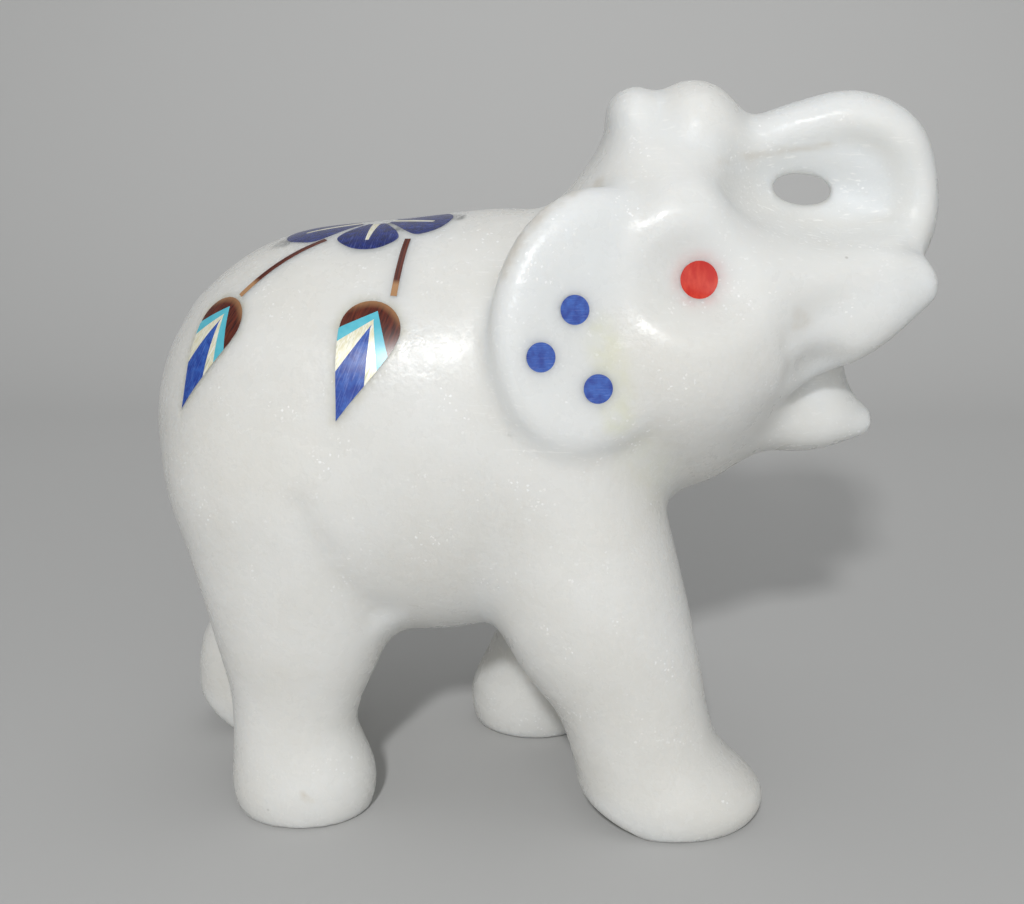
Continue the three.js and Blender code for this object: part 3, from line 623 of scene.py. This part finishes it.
def layBud(name, on):
    t = np.linspace(0, 1, bud["rimSteps"] + 1)
    down, across = bud["bedSteps"]
    hearts = []
    for end, hand in (("rear", -1), ("front", 1)):
        starts, ends = bud["seams"][end]
        capShares = capTop + (ends[0] - capTop) * np.sin(np.pi / 2 * t) ** 2
        layStone(f"{name}_sepal_{end}", fan(np.full(len(t), starts[0]), onRim(capShares, hand)), on, "agate")
        for kind, i in (("strip", 0), ("wedge", 1)):
            grid = fan(mixed(starts[i], starts[i + 1], t), onRim(mixed(ends[i], ends[i + 1], t), hand))
            layStone(f"{name}_{kind}_{end}", grid, on, "turquoise" if kind == "strip" else "pearl")
        hearts.append((starts[2], onRim(mixed(ends[2], 1.0, t), hand)))
    (rearStart, rearRim), (frontStart, frontRim) = hearts
    rim = np.vstack([rearRim, frontRim[-2::-1]])
    layStone(f"{name}_heart", fan(np.linspace(rearStart, frontStart, len(rim)), rim), on, "lapis")
    shares = np.concatenate([
        capTop * np.cos(np.pi / 2 * t),
        mixed(bud["taperStart"], 1.0, np.linspace(0, 1, down + 1)),
    ])
    layBed(between(onRim(shares, -1), onRim(shares, 1), across), on, yellowGlue=True)


# A bud's own frame: its first direction runs down to the tip, which leans to the rear
def budFrame(on, lean):
    c, s = np.cos(np.radians(lean)), np.sin(np.radians(lean))
    down = -on["rise"] * c - on["across"] * s
    wide = on["across"] * c - on["rise"] * s
    origin = on["origin"] - down * bud["back"] * bud["taper"]
    return {"origin": origin, "normal": on["normal"], "across": down, "rise": wide}


# A stem is a ribbon: points along a chord set down on the form, with its width laid off to both sides
def layStem(name, sideName, flowerOn, on, angles, start, end):
    leave = turned(np.array([[start, 0.0]]), angles[sideName])[0]
    ends = []
    for frameOn, (u, v) in ((flowerOn, leave), (on, (-budRadius + end[0], end[1]))):
        ends.append(frameOn["origin"] + u * frameOn["across"] + v * frameOn["rise"])
    normals = np.array([flowerOn["normal"], on["normal"]])
    ends = settled(np.array(ends), normals)
    way = ends[1] - ends[0]
    rows, columns = (steps + 1 for steps in bud["stemSteps"])
    shares = np.linspace(0, 1, rows)[:, None]
    middle = settled(mixed(ends[0], ends[1], shares))
    normals = normalsAt(middle)
    across = np.cross(way, normals)
    across /= np.linalg.norm(across, axis=1, keepdims=True)
    offsets = (np.linspace(-0.5, 0.5, columns) * bud["stemWidth"])[None, :, None]
    wide = middle[:, None] + offsets * across[:, None]
    lifted = np.repeat(normals[:, None], columns, 1)
    top = settled(wide.reshape(-1, 3), lifted.reshape(-1, 3)).reshape(wide.shape)
    along = np.broadcast_to(shares, top.shape[:2])
    laid = np.stack([along, np.broadcast_to(offsets[..., 0], top.shape[:2])], -1)
    return {"name": name, "kind": "agate", "top": top, "normals": lifted, "laid": laid}


def layInlay():
    layRoundStones()
    layFlower(flowerOn)
    places = [(x, y * hand, z) for (x, y, z), _ in bud["places"].values() for hand in sides.values()]
    frames = iter(surfaceFrames(places, (0, 0, 1)))
    stems = []
    for budName, (_, lean) in bud["places"].items():
        for sideName in sides:
            on = budFrame(next(frames), lean)
            name = f"{sideName}_{budName}"
            layBud(f"{name}_bud", on)
            stems.append(layStem(f"{name}_stem", sideName, flowerOn, on, *bud["stems"][budName]))
    settleAll(stones + beds)
    stones.extend(stems)
    beds.extend(stems)


flowerOn = surfaceFrames([flower["place"]], (0, 1, 0))[0]
layInlay()
print("inlay laid out:", len(stones), "stones")


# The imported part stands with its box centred: its eyes say how far that moved it
def packedShift():
    moves = []
    for item in stones:
        if not item["name"].endswith("_eye"):
            continue
        underside = item["top"] - item["normals"] * inlay["thickness"]
        points = np.concatenate([item["top"], underside]).reshape(-1, 3)
        own = (points.min(0) + points.max(0)) / 2
        packed = np.array(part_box(item["name"])).mean(0) / metres
        moves.append(packed - own)
    return np.mean(moves, 0) * [1, 1, 0]


shift = packedShift()
print("moved by", np.round(shift, 3))


# Materials. An sRGB hex colour as linear light
def linear(hexColour):
    parts = np.array([int(hexColour[i : i + 2], 16) for i in (1, 3, 5)]) / 255
    return tuple(np.where(parts <= 0.04045, parts / 12.92, ((parts + 0.055) / 1.055) ** 2.4)) + (1.0,)


def perMetre(millimetres):
    return 1000 / millimetres


# Adds a node with its settings; an input takes a value or another node's output
def add(tree, kind, inputs=None, **settings):
    made = tree.nodes.new(kind)
    for name, value in settings.items():
        setattr(made, name, value)
    for name, value in (inputs or {}).items():
        if isinstance(value, bpy.types.NodeSocket):
            tree.links.new(value, made.inputs[name])
        else:
            made.inputs[name].default_value = value
    return made


def newMaterial(name):
    material = bpy.data.materials.new(name)
    material.use_nodes = True
    tree = material.node_tree
    tree.nodes.clear()
    where = add(tree, "ShaderNodeTexCoord").outputs["Object"]
    return material, tree, where


def finishMaterial(tree, shader):
    add(tree, "ShaderNodeOutputMaterial", {"Surface": shader.outputs[0]})


# The place a pattern is read at, with a scale along each axis: a small one stretches it that way
def stretched(tree, where, scales):
    return add(tree, "ShaderNodeMapping", {"Vector": where, "Scale": scales}).outputs[0]


def scaled(tree, value, factor):
    return add(tree, "ShaderNodeMath", {0: value, 1: factor}, operation="MULTIPLY").outputs[0]


# The value taken from the range low to high and laid on the range start to end
def ranged(tree, value, low, high, start=0.0, end=1.0):
    return add(tree, "ShaderNodeMapRange", {0: value, 1: low, 2: high, 3: start, 4: end}).outputs[0]


def tinted(tree, share, first, second):
    first = linear(first) if isinstance(first, str) else first
    return add(tree, "ShaderNodeMix", {0: share, 6: first, 7: linear(second)}, data_type="RGBA").outputs[2]


def attributeOf(tree, name):
    return add(tree, "ShaderNodeAttribute", attribute_name=name)


# White marble, ground and polished by hand: light goes a few millimetres in, a bluish glow is painted on
# thin edges, and single calcite grains flash, with a white glint painted on them. Stains of glue and hands
# stay in some creases and round the stones; painted shade browns the hollows and yellows the ear's groove
# and the part under the ear, and a painted glow of the stones' colour rings the eye and the dots.
marbleFinish = {
    "colours": ("#dfdfdc", "#d9d8d3"),
    # painted glow: a bluish tint where the marble is thin, standing in for light coming through it
    "thin": ("#dfe5ea", 0.5),
    "speck": ("#6f675c", 0.5),
    "scratch": ("#f4f4f2", 0.6),
    # painted glint: white mixed into the colour of the grains that flash
    "flashAndPaintedGlint": ("#ffffff", 0.5),
    # Spacing of each pattern, in millimetres
    "cloudSize": 16,
    "blotchSize": 1.5,
    "speckSize": 13,
    "scratchSize": 0.35,
    "grainSize": 0.2,
    "patchSize": 4.5,
    "wearSize": 2.4,
    "wearDepth": (0.36, 0.0003),  # its strength, and metres
    "wearRoughness": 0.16,  # the most that wear adds
    "roughness": (0.22, 0.46),  # where polished, and where left dull
    "grainLean": (0.02, 0.16),  # of any grain, and of one that flashes
    "dullLean": 0.08,
    "lightDepth": 0.004,  # metres that light goes in
    # Tint and strongest share of each mark that the surface carries: real stains and glue, painted shade
    # in hollows and by the ear, and painted glow round the eye and the dots
    "marks": {"stainAndPaintedShade": ("#a8936c", 0.5), "yellowPaintedShade": ("#cfcf9c", 0.6), "eyeCementAndPaintedGlow": ("#ee6a58", 0.22),
              "dotPaintedGlow": ("#8f9cc4", 0.16), "cement": ("#c9c2a4", 0.5), "filler": ("#4c5054", 0.9)},
}


# Clouds, a painted bluish glow on thin edges, marks in blotches (real stains and glue, and painted shade
# and glow), and single dark specks
def marbleColour(tree, where):
    size = perMetre(marbleFinish["cloudSize"])
    cloud = add(tree, "ShaderNodeTexNoise", {"Vector": where, "Scale": size, "Detail": 3.0})
    colour = tinted(tree, ranged(tree, cloud.outputs["Fac"], 0.35, 0.65), *marbleFinish["colours"])
    tint, most = marbleFinish["thin"]
    colour = tinted(tree, scaled(tree, attributeOf(tree, "thin").outputs["Fac"], most), colour, tint)
    size = perMetre(marbleFinish["blotchSize"])
    blotches = add(tree, "ShaderNodeTexNoise", {"Vector": where, "Scale": size, "Detail": 4.0})
    blotch = ranged(tree, blotches.outputs["Fac"], 0.35, 0.6, 0.4, 1.0)
    for name, (tint, most) in marbleFinish["marks"].items():
        amount = scaled(tree, attributeOf(tree, name).outputs["Fac"], most)
        colour = tinted(tree, scaled(tree, amount, blotch), colour, tint)
    size = perMetre(marbleFinish["speckSize"])
    specks = add(tree, "ShaderNodeTexVoronoi", {"Vector": where, "Scale": size, "Randomness": 1.0})
    tint, most = marbleFinish["speck"]
    return tinted(tree, ranged(tree, specks.outputs["Distance"], 0.008, 0.02, most, 0.0), colour, tint)


# Fine pale scratches, only where the surface is left dull
def scratched(tree, where, colour, dull):
    place = stretched(tree, where, (0.16, 1.0, 1.0))
    size = perMetre(marbleFinish["scratchSize"])
    lines = add(tree, "ShaderNodeTexNoise", {"Vector": place, "Scale": size, "Detail": 3.0})
    tint, most = marbleFinish["scratch"]
    amount = scaled(tree, ranged(tree, lines.outputs["Fac"], 0.6, 0.72), dull)
    return tinted(tree, scaled(tree, amount, most), colour, tint)


# Each grain tips the normal a little, more where the surface is dull; in some patches, one grain
# in many flashes and tips it far. That grain's mask also goes back out to paint a white glint on it
def calciteGrains(tree, where, dull):
    size = perMetre(marbleFinish["grainSize"])
    grains = add(tree, "ShaderNodeTexVoronoi", {"Vector": where, "Scale": size, "Randomness": 1.0})
    patches = add(tree, "ShaderNodeTexNoise", {"Vector": where, "Scale": perMetre(marbleFinish["patchSize"]),
                                               "Detail": 2.0})
    chosen = add(tree, "ShaderNodeSeparateColor", {"Color": grains.outputs["Color"]}).outputs["Red"]
    flashAndPaintedGlint = scaled(tree, ranged(tree, chosen, 0.96, 0.975), ranged(tree, patches.outputs["Fac"], 0.52, 0.68))
    far = ranged(tree, flashAndPaintedGlint, 0.0, 1.0, *marbleFinish["grainLean"])
    more = scaled(tree, dull, marbleFinish["dullLean"])
    far = add(tree, "ShaderNodeMath", {0: far, 1: more}, operation="ADD").outputs[0]
    lean = add(tree, "ShaderNodeVectorMath", {0: grains.outputs["Color"], 1: (0.5, 0.5, 0.5)},
               operation="SUBTRACT")
    lean = add(tree, "ShaderNodeVectorMath", {0: lean.outputs[0], "Scale": far}, operation="SCALE")
    surface = add(tree, "ShaderNodeNewGeometry").outputs["Normal"]
    tipped = add(tree, "ShaderNodeVectorMath", {0: surface, 1: lean.outputs[0]}, operation="ADD")
    normal = add(tree, "ShaderNodeVectorMath", {0: tipped.outputs[0]}, operation="NORMALIZE")
    return flashAndPaintedGlint, normal.outputs[0]


def polishedMarble():
    material, tree, where = newMaterial("polishedWhiteMarble")
    dull = attributeOf(tree, "dull").outputs["Fac"]
    colour = scratched(tree, where, marbleColour(tree, where), dull)
    flashAndPaintedGlint, normal = calciteGrains(tree, where, dull)
    # Painted glint: the flashing grains are tinted white
    tint, most = marbleFinish["flashAndPaintedGlint"]
    colour = tinted(tree, scaled(tree, flashAndPaintedGlint, most), colour, tint)
    wear = add(tree, "ShaderNodeTexNoise", {"Vector": where, "Scale": perMetre(marbleFinish["wearSize"]),
                                            "Detail": 4.0, "Roughness": 0.6}).outputs["Fac"]
    strength, depth = marbleFinish["wearDepth"]
    bump = add(tree, "ShaderNodeBump", {"Height": wear, "Strength": strength, "Distance": depth,
                                        "Normal": normal})
    polish = ranged(tree, dull, 0.0, 1.0, *marbleFinish["roughness"])
    worn = ranged(tree, wear, 0.4, 0.7, 0.0, marbleFinish["wearRoughness"])
    roughness = add(tree, "ShaderNodeMath", {0: polish, 1: worn}, operation="ADD").outputs[0]
    shader = add(tree, "ShaderNodeBsdfPrincipled", {
        "Base Color": colour, "Roughness": roughness, "IOR": 1.49, "Normal": bump.outputs[0],
        "Specular IOR Level": 0.3, "Subsurface Weight": 0.6, "Subsurface Radius": (1.0, 0.92, 0.84),
        "Subsurface Scale": marbleFinish["lightDepth"],
    })
    finishMaterial(tree, shader)
    return material


def shaded(tree, colour, roughness, **others):
    inputs = {"Base Color": colour, "Roughness": roughness}
    inputs.update({name.replace("_", " "): value for name, value in others.items()})
    finishMaterial(tree, add(tree, "ShaderNodeBsdfPrincipled", inputs))


# Lapis lazuli, cut and polished: blue with clouds, and fine pale lines of grain
def polishedLapis(name, deep, pale):
    material, tree, where = newMaterial(name)
    laid = attributeOf(tree, "laid").outputs["Vector"]
    cloud = add(tree, "ShaderNodeTexNoise", {"Vector": where, "Scale": perMetre(0.7), "Detail": 4.0,
                                             "Roughness": 0.6})
    lines = add(tree, "ShaderNodeTexNoise", {"Vector": stretched(tree, laid, (0.3, 4.0, 1.0)), "Scale": 1.6,
                                             "Detail": 3.0})
    colour = tinted(tree, ranged(tree, cloud.outputs["Fac"], 0.35, 0.7), deep, pale)
    line = ranged(tree, lines.outputs["Fac"], 0.58, 0.74, 0.0, 0.4)
    colour = tinted(tree, line, colour, "#7f8fd0")
    shaded(tree, colour, ranged(tree, lines.outputs["Fac"], 0.4, 0.7, 0.2, 0.34), IOR=1.5)
    return material


# Red coral, cut across: bright orange red with faint paler streaks
def polishedCoral():
    material, tree, where = newMaterial("polishedCoral")
    cloud = add(tree, "ShaderNodeTexNoise", {"Vector": stretched(tree, where, (1.0, 1.0, 0.4)),
                                             "Scale": perMetre(0.6), "Detail": 4.0})
    colour = tinted(tree, ranged(tree, cloud.outputs["Fac"], 0.4, 0.75), "#bf1c0d", "#d2432c")
    shaded(tree, colour, 0.3, IOR=1.49)
    return material


# Turquoise strips, polished: even blue green
def polishedTurquoise():
    material, tree, where = newMaterial("polishedTurquoise")
    cloud = add(tree, "ShaderNodeTexNoise", {"Vector": where, "Scale": perMetre(0.9), "Detail": 3.0})
    colour = tinted(tree, cloud.outputs["Fac"], "#3aa9c0", "#6cc6d6")
    shaded(tree, colour, 0.26, IOR=1.6)
    return material


# Mother of pearl: cream with fine streaks of green, grey and gold along the piece, and a high gloss
def motherOfPearl():
    material, tree, _ = newMaterial("motherOfPearl")
    laid = attributeOf(tree, "laid").outputs["Vector"]
    layers = add(tree, "ShaderNodeTexNoise", {"Vector": stretched(tree, laid, (0.5, 2.4, 1.0)), "Scale": 1.1,
                                              "Detail": 4.0, "Distortion": 0.5})
    ramp = add(tree, "ShaderNodeValToRGB", {"Fac": layers.outputs["Fac"]})
    stops = ((0.3, "#b9bb96"), (0.42, "#efeddf"), (0.55, "#dcd7b4"), (0.66, "#f6f4ec"), (0.8, "#c9c2b8"))
    for place, colour in stops[:-2]:
        ramp.color_ramp.elements.new(place)
    for element, (place, colour) in zip(ramp.color_ramp.elements, stops):
        element.position = place
        element.color = linear(colour)
    shaded(tree, ramp.outputs["Color"], 0.22, IOR=1.6, Metallic=0.1)
    return material


# Brown banded agate: dark red brown streaks along the piece. The bands by a cap's outer edge
# and at a stem's lower end are honey coloured.
def bandedAgate():
    material, tree, _ = newMaterial("bandedBrownAgate")
    laid = attributeOf(tree, "laid").outputs["Vector"]
    bands = add(tree, "ShaderNodeTexNoise", {"Vector": stretched(tree, laid, (0.4, 3.0, 1.0)), "Scale": 1.3,
                                             "Detail": 3.0})
    colour = tinted(tree, ranged(tree, bands.outputs["Fac"], 0.35, 0.7), "#3a120c", "#6a2c1a")
    honey = attributeOf(tree, "honey").outputs["Fac"]
    colour = tinted(tree, honey, colour, "#b58a60")
    shaded(tree, colour, 0.24, IOR=1.54)
    return material


stoneMaterials = {
    "lapis": polishedLapis("polishedLapis", "#163890", "#3562b6"),
    "darkLapis": polishedLapis("darkLapis", "#0b1850", "#1a3082"),
    "coral": polishedCoral(),
    "turquoise": polishedTurquoise(),
    "pearl": motherOfPearl(),
    "agate": bandedAgate(),
}


# The marble: the fine net, with a bed cut for every stone
def fineBody():
    cell = figure["cell"]
    low = np.array([*figure["low"], -figure["cellsBelow"] * cell]) * scale
    high = np.array(figure["high"]) * scale
    counts = (figure["coarse"] * np.ceil((high - low) / cell / figure["coarse"])).astype(int)
    vertices, quads = surfaceNet(carvedValues(low, counts))
    vertices = smoothed(low + vertices * cell, quads, figure["smoothRounds"])
    vertices[:, 2] = np.maximum(vertices[:, 2], 0)
    return meshFrom("marble", (vertices + shift) * metres, quads.tolist())


# All the beds as one mesh of closed slabs
def bedCutter():
    joined = bmesh.new()
    over, under = inlay["cutterHeight"], inlay["bedDepth"]
    for i, bed in enumerate(beds):
        joined.from_mesh(slabMesh(f"bed{i}", bed["top"], bed["normals"], over, under, shift))
    mesh = bpy.data.meshes.new("beds")
    joined.to_mesh(mesh)
    joined.free()
    cutter = bpy.data.objects.new("beds", mesh)
    bpy.context.scene.collection.objects.link(cutter)
    return cutter


def withBedsCut(mesh):
    blank = bpy.data.objects.new("blank", mesh)
    bpy.context.scene.collection.objects.link(blank)
    cutter = bedCutter()
    carve = blank.modifiers.new("beds", "BOOLEAN")
    carve.operation = "DIFFERENCE"
    carve.solver = "MANIFOLD"
    carve.object = cutter
    view = bpy.context.evaluated_depsgraph_get()
    done = bpy.data.meshes.new_from_object(blank.evaluated_get(view))
    bpy.data.objects.remove(blank)
    bpy.data.objects.remove(cutter)
    return done


# What the surface carries as values on its vertices: reaches are millimetres
surfaceMarks = {
    "eyeCementAndGlowReach": 1.5,  # red of the eye's cement, and a painted red glow of its light in the marble
    # painted blue-grey glow of the dots' light in the marble
    "dotGlowReach": 0.7,
    "haloFall": 3,
    "cementReach": 0.6,  # yellowish glue round the buds
    "budReach": 9,  # only points this near to a bud's middle are measured against its rim
    "hollowReach": 2.2,
    "hollowDullness": 1.6,
    "hollowPaintedShade": (0.5, 0.9, 0.3),  # a hollow's painted shade starts at, grows by, and ends at
    "bowlEdge": (1.1, 2),  # the trunk's bowl is dull up to here outside it, and fades over this
    "thinReach": 4.0,
    "lineSpread": 1.5,
    "fillerEdge": (0.35, 0.5),
    "fillerDepth": 12,  # below the flower's middle, to keep off the belly
}

# Stains and painted shade along lines on the right side: name, rows of x, y, z and half width, and how
# strong
stainAndShadeLines = [
    # behind the ear
    ("stainAndPaintedShade", [(8.4, -6.5, 64.9, 0.3), (5.6, -11.4, 64.4, 0.4), (3.3, -12.5, 63, 0.4),
                     (1.1, -13.9, 60.5, 0.4), (-0.3, -14.9, 57.7, 0.25)], 0.55),
    # under the trunk's tip
    ("stainAndPaintedShade", [(19.9, -6.6, 67.1, 0.15), (23.6, -3.4, 67.3, 0.2), (27.1, -2.6, 67.9, 0.15),
                     (31, -2.5, 68.4, 0.1)], 0.4),
    # at the tusk's foot
    ("stainAndPaintedShade", [(27, -11.5, 53.5, 0.3), (28.2, -10.8, 52.5, 0.2), (27, -11.4, 52.2, 0.15)], 0.25),
    # painted yellowish shade in the groove by the ear's front edge
    ("yellowPaintedShade", [(8.5, -15, 52.4, 0.4), (9.2, -15.5, 50.2, 0.7), (9.6, -15.9, 47.5, 0.9),
                     (10.3, -16.1, 44.2, 0.7)], 0.45),
    # painted yellowish shade under the ear's front
    ("yellowPaintedShade", [(12.6, -13.5, 40.4, 1.2), (14.8, -10.9, 36.8, 1)], 0.2),
    # a chip in the foot
    ("stainAndPaintedShade", [(-20.8, -15.6, 4.2, 0.12), (-20.4, -15.6, 3.7, 0.12)], 0.9),
]
# Dark filler about the flower, on its own frame: x, y and radius
fillerSpots = [(-10.2, -3.2, 0.7), (-9.4, -3.7, 0.4), (8.1, -2.6, 0.7), (7.5, -1.6, 0.4), (2.2, -3.7, 0.7),
               (1.5, -2.3, 0.8), (2.5, -1.7, 0.4)]


# How near each point is to one of the lines of stain and of painted shade, from 1 on it to 0 a few widths
# away
def nearMarkedLine(points, rows):
    half = np.mean([row[3] for row in rows])
    d = chain((points / scale).T, rows, steps=1)
    return np.exp(-((np.maximum(d, 0) / (half * surfaceMarks["lineSpread"])) ** 2))


# How near each point is to a round stone with that word in its name, from 1 at its rim
def nearStones(points, word, radius, reach):
    near = np.zeros(len(points))
    for item in stones:
        if word not in item["name"]:
            continue
        away = np.linalg.norm(points - item["top"].reshape(-1, 3).mean(0), axis=1)
        outside = np.maximum(away - radius, 0) / reach
        near = np.maximum(near, np.exp(-surfaceMarks["haloFall"] * outside**2))
    return near


# How near each point is to the rim of a bed with yellow glue
def nearBuds(points):
    near = np.zeros(len(points))
    for bed in beds:
        if not bed.get("yellowGlue"):
            continue
        rim = np.vstack([bed["top"][:, 0], bed["top"][::-1, -1]])
        middle = rim.mean(0)
        close = np.nonzero(np.linalg.norm(points - middle, axis=1) < surfaceMarks["budReach"])[0]
        away = np.linalg.norm(points[close, None] - rim[None], axis=2).min(1)
        near[close] = np.maximum(near[close], np.exp(-((away / surfaceMarks["cementReach"]) ** 2)))
    return near


# How deep each point lies in a hollow: the form a little way out along its normal is near again
def inHollow(points, normals):
    reach = surfaceMarks["hollowReach"]
    return np.clip((reach - form(points + normals * reach)) / reach, 0, 1)


# How thin the marble is: the form a little way in is shallow
def thinness(points, normals):
    reach = surfaceMarks["thinReach"]
    return np.clip(1 + form(points - normals * reach) / reach, 0, 1)


def inBowl(points):
    limit, fade = surfaceMarks["bowlEdge"]
    return np.clip(limit - ball(mirrored((points / scale).T), *headForm["bowl"]) / fade, 0, 1)


def nearFlower(points):
    across, rise = ((points - flowerOn["origin"]) @ flowerOn[name] for name in ("across", "rise"))
    onBack = points[:, 2] > flowerOn["origin"][2] - surfaceMarks["fillerDepth"]
    edge, fade = surfaceMarks["fillerEdge"]
    near = np.zeros(len(points))
    for x, y, radius in fillerSpots:
        spot = np.clip((radius + edge - np.hypot(across - x, rise - y)) / fade, 0, 1)
        near = np.maximum(near, spot * onBack)
    return near


def readVertices(mesh, name):
    values = np.empty(len(mesh.vertices) * 3)
    mesh.vertices.foreach_get(name, values)
    return values.reshape(-1, 3)


def markSurface(mesh):
    points = readVertices(mesh, "co") / metres - shift
    normals = readVertices(mesh, "normal")
    hollow = inHollow(points, normals)
    start, growth, most = surfaceMarks["hollowPaintedShade"]
    marks = {
        "dull": np.clip(np.maximum(hollow * surfaceMarks["hollowDullness"], inBowl(points)), 0, 1),
        # painted glow: how thin the marble is, for the bluish tint on thin edges
        "thin": thinness(points, normals),
        # painted shade: browner the deeper a point lies in a hollow; the real brown stain lines are added
        # below
        "stainAndPaintedShade": np.clip((hollow - start) * growth, 0, most),
        "yellowPaintedShade": np.zeros(len(points)),
        "eyeCementAndPaintedGlow": nearStones(points, "_eye", inlay["eyeDiameter"] / 2, surfaceMarks["eyeCementAndGlowReach"]),
        "dotPaintedGlow": nearStones(points, "_ear_dot_", inlay["dotDiameter"] / 2, surfaceMarks["dotGlowReach"]),
        "cement": nearBuds(points),
        "filler": nearFlower(points),
    }
    for name, rows, strength in stainAndShadeLines:
        marks[name] = np.maximum(marks[name], strength * nearMarkedLine(points, rows))
    for name, values in marks.items():
        setAttribute(mesh, name, values)


body = withBedsCut(fineBody())
markSurface(body)
body.shade_smooth()
body.set_sharp_from_angle(angle=np.radians(figure["creaseAngle"]))
addPiece("marble", body, polishedMarble(), ["marble_body"])
print("marble carved:", len(body.vertices), "vertices")


# Where honey colour sets in, and over how much it grows
honeyBands = {
    "stem": (0.76, 0.06),  # shares of its length
    "stemMost": 0.85,
    "capEdge": (0.74, 0.4),  # shares of the cap's radius
    "capTop": (0.9, 1.2),  # millimetres above the cap's middle
}


# A stone carries its place on its own frame, in millimetres, and the share of honey colour in agate
def stoneMarks(item):
    laid = item["laid"]
    u, v = laid[..., 0], laid[..., 1]
    honey = np.zeros(u.shape)
    if item["name"].endswith("_stem"):
        start, growth = honeyBands["stem"]
        honey = np.clip((u - start) / growth, 0, 1) * honeyBands["stemMost"]
    if "_sepal_" in item["name"]:
        start, growth = honeyBands["capEdge"]
        honey = np.clip((np.hypot(u, v) / budRadius - start) / growth, 0, 1)
        start, growth = honeyBands["capTop"]
        honey = honey * np.clip((-start - u) / growth, 0, 1)
    return {"laid": np.concatenate([laid, np.zeros((*u.shape, 1))], -1), "honey": honey}


for item in stones:
    marks = stoneMarks(item)
    mesh = slabMesh(item["name"], item["top"], item["normals"], 0.0, inlay["thickness"], shift, marks)
    kind = item["kind"]
    addPiece(item["name"] + "Stone", mesh, stoneMaterials[kind], [item["name"]])
print("stones set")


# The camera, with its distance and target in drawn millimetres
shot = {
    "azimuth": 1.5,
    "elevation": 16.0,
    "distance": 140.0,
    "target": (0.0, 0.0, 36.4),
    "lens": 46.34,
}


def addCamera():
    a, e = np.radians(shot["azimuth"]), np.radians(shot["elevation"])
    back = np.array([np.sin(a) * np.cos(e), -np.cos(a) * np.cos(e), np.sin(e)])
    right = np.array([np.cos(a), np.sin(a), 0.0])
    target = (np.array(shot["target"]) * scale + shift) * metres
    place = target + back * shot["distance"] * scale * metres
    data = bpy.data.cameras.new("camera")
    data.lens = shot["lens"]
    data.sensor_width = 36.0
    data.clip_start = 0.01
    camera = bpy.data.objects.new("camera", data)
    turn = Matrix(np.stack([right, np.cross(back, right), back], 1).tolist())
    camera.matrix_world = Matrix.Translation(place.tolist()) @ turn.to_4x4()
    bpy.context.scene.collection.objects.link(camera)
    bpy.context.scene.camera = camera


sweep = {
    "front": -0.5,
    "bend": 0.16,  # where it starts to turn up
    "radius": 0.12,
    "top": 0.6,
    "width": 1.6,
    "bendPoints": 24,
    "colour": "#bbbbba",
}


# A sheet of paper: flat under the figure, then up behind it through a quarter circle
def addSweep():
    t = np.linspace(0, np.pi / 2, sweep["bendPoints"])
    bend = sweep["bend"] + sweep["radius"] * np.sin(t)
    y = np.concatenate([[sweep["front"]], bend, bend[-1:]])
    z = np.concatenate([[0.0], sweep["radius"] * (1 - np.cos(t)), [sweep["top"]]])
    x = np.array([-sweep["width"], sweep["width"]]) / 2
    grid = np.stack([np.tile(x, (len(y), 1)), np.repeat(y[:, None], 2, 1), np.repeat(z[:, None], 2, 1)], -1)
    number = np.arange(len(y) * 2).reshape(-1, 2)
    faces = np.stack([number[:-1, 0], number[:-1, 1], number[1:, 1], number[1:, 0]], -1)
    mesh = meshFrom("sweep", grid.reshape(-1, 3), faces.tolist())
    mesh.shade_smooth()
    material, tree, _ = newMaterial("greyPaper")
    shaded(tree, linear(sweep["colour"]), 0.8)
    mesh.materials.append(material)
    paper = bpy.data.objects.new("sweep", mesh)
    bpy.context.scene.collection.objects.link(paper)


lights = {
    "main": {"place": (-0.055, -0.45, 0.355), "aim": (0, 0, 0.03), "size": 0.04, "power": 1.6},
    "top": {"place": (0.05, 0.02, 0.6), "aim": (0, 0, 0.03), "size": 0.4, "power": 0.4},
    "fill": {"place": (0.1, -0.5, 0.12), "aim": (0, 0, 0.03), "size": 0.5, "power": 0.85},
    "wall": {"place": (0.02, 0.08, 0.32), "aim": (0.02, 0.3, 0.28), "size": 0.2, "power": 0.24},
}
worldColour = "#d3d5d6"
worldStrength = 0.38


def addLights():
    for name, values in lights.items():
        data = bpy.data.lights.new(name, "AREA")
        data.size = values["size"]
        data.energy = values["power"]
        light = bpy.data.objects.new(name, data)
        back = np.array(values["place"]) - np.array(values["aim"])
        back /= np.linalg.norm(back)
        right = np.cross([0, 1, 0.001], back)
        right /= np.linalg.norm(right)
        turn = Matrix(np.stack([right, np.cross(back, right), back], 1).tolist())
        light.matrix_world = Matrix.Translation(values["place"]) @ turn.to_4x4()
        bpy.context.scene.collection.objects.link(light)
    world = bpy.data.worlds.new("room")
    world.use_nodes = True
    shade = world.node_tree.nodes["Background"]
    shade.inputs["Color"].default_value = linear(worldColour)
    shade.inputs["Strength"].default_value = worldStrength
    bpy.context.scene.world = world


addCamera()
addSweep()
addLights()
bpy.context.scene.view_settings.view_transform = "Standard"
print("camera, paper and lights in place")
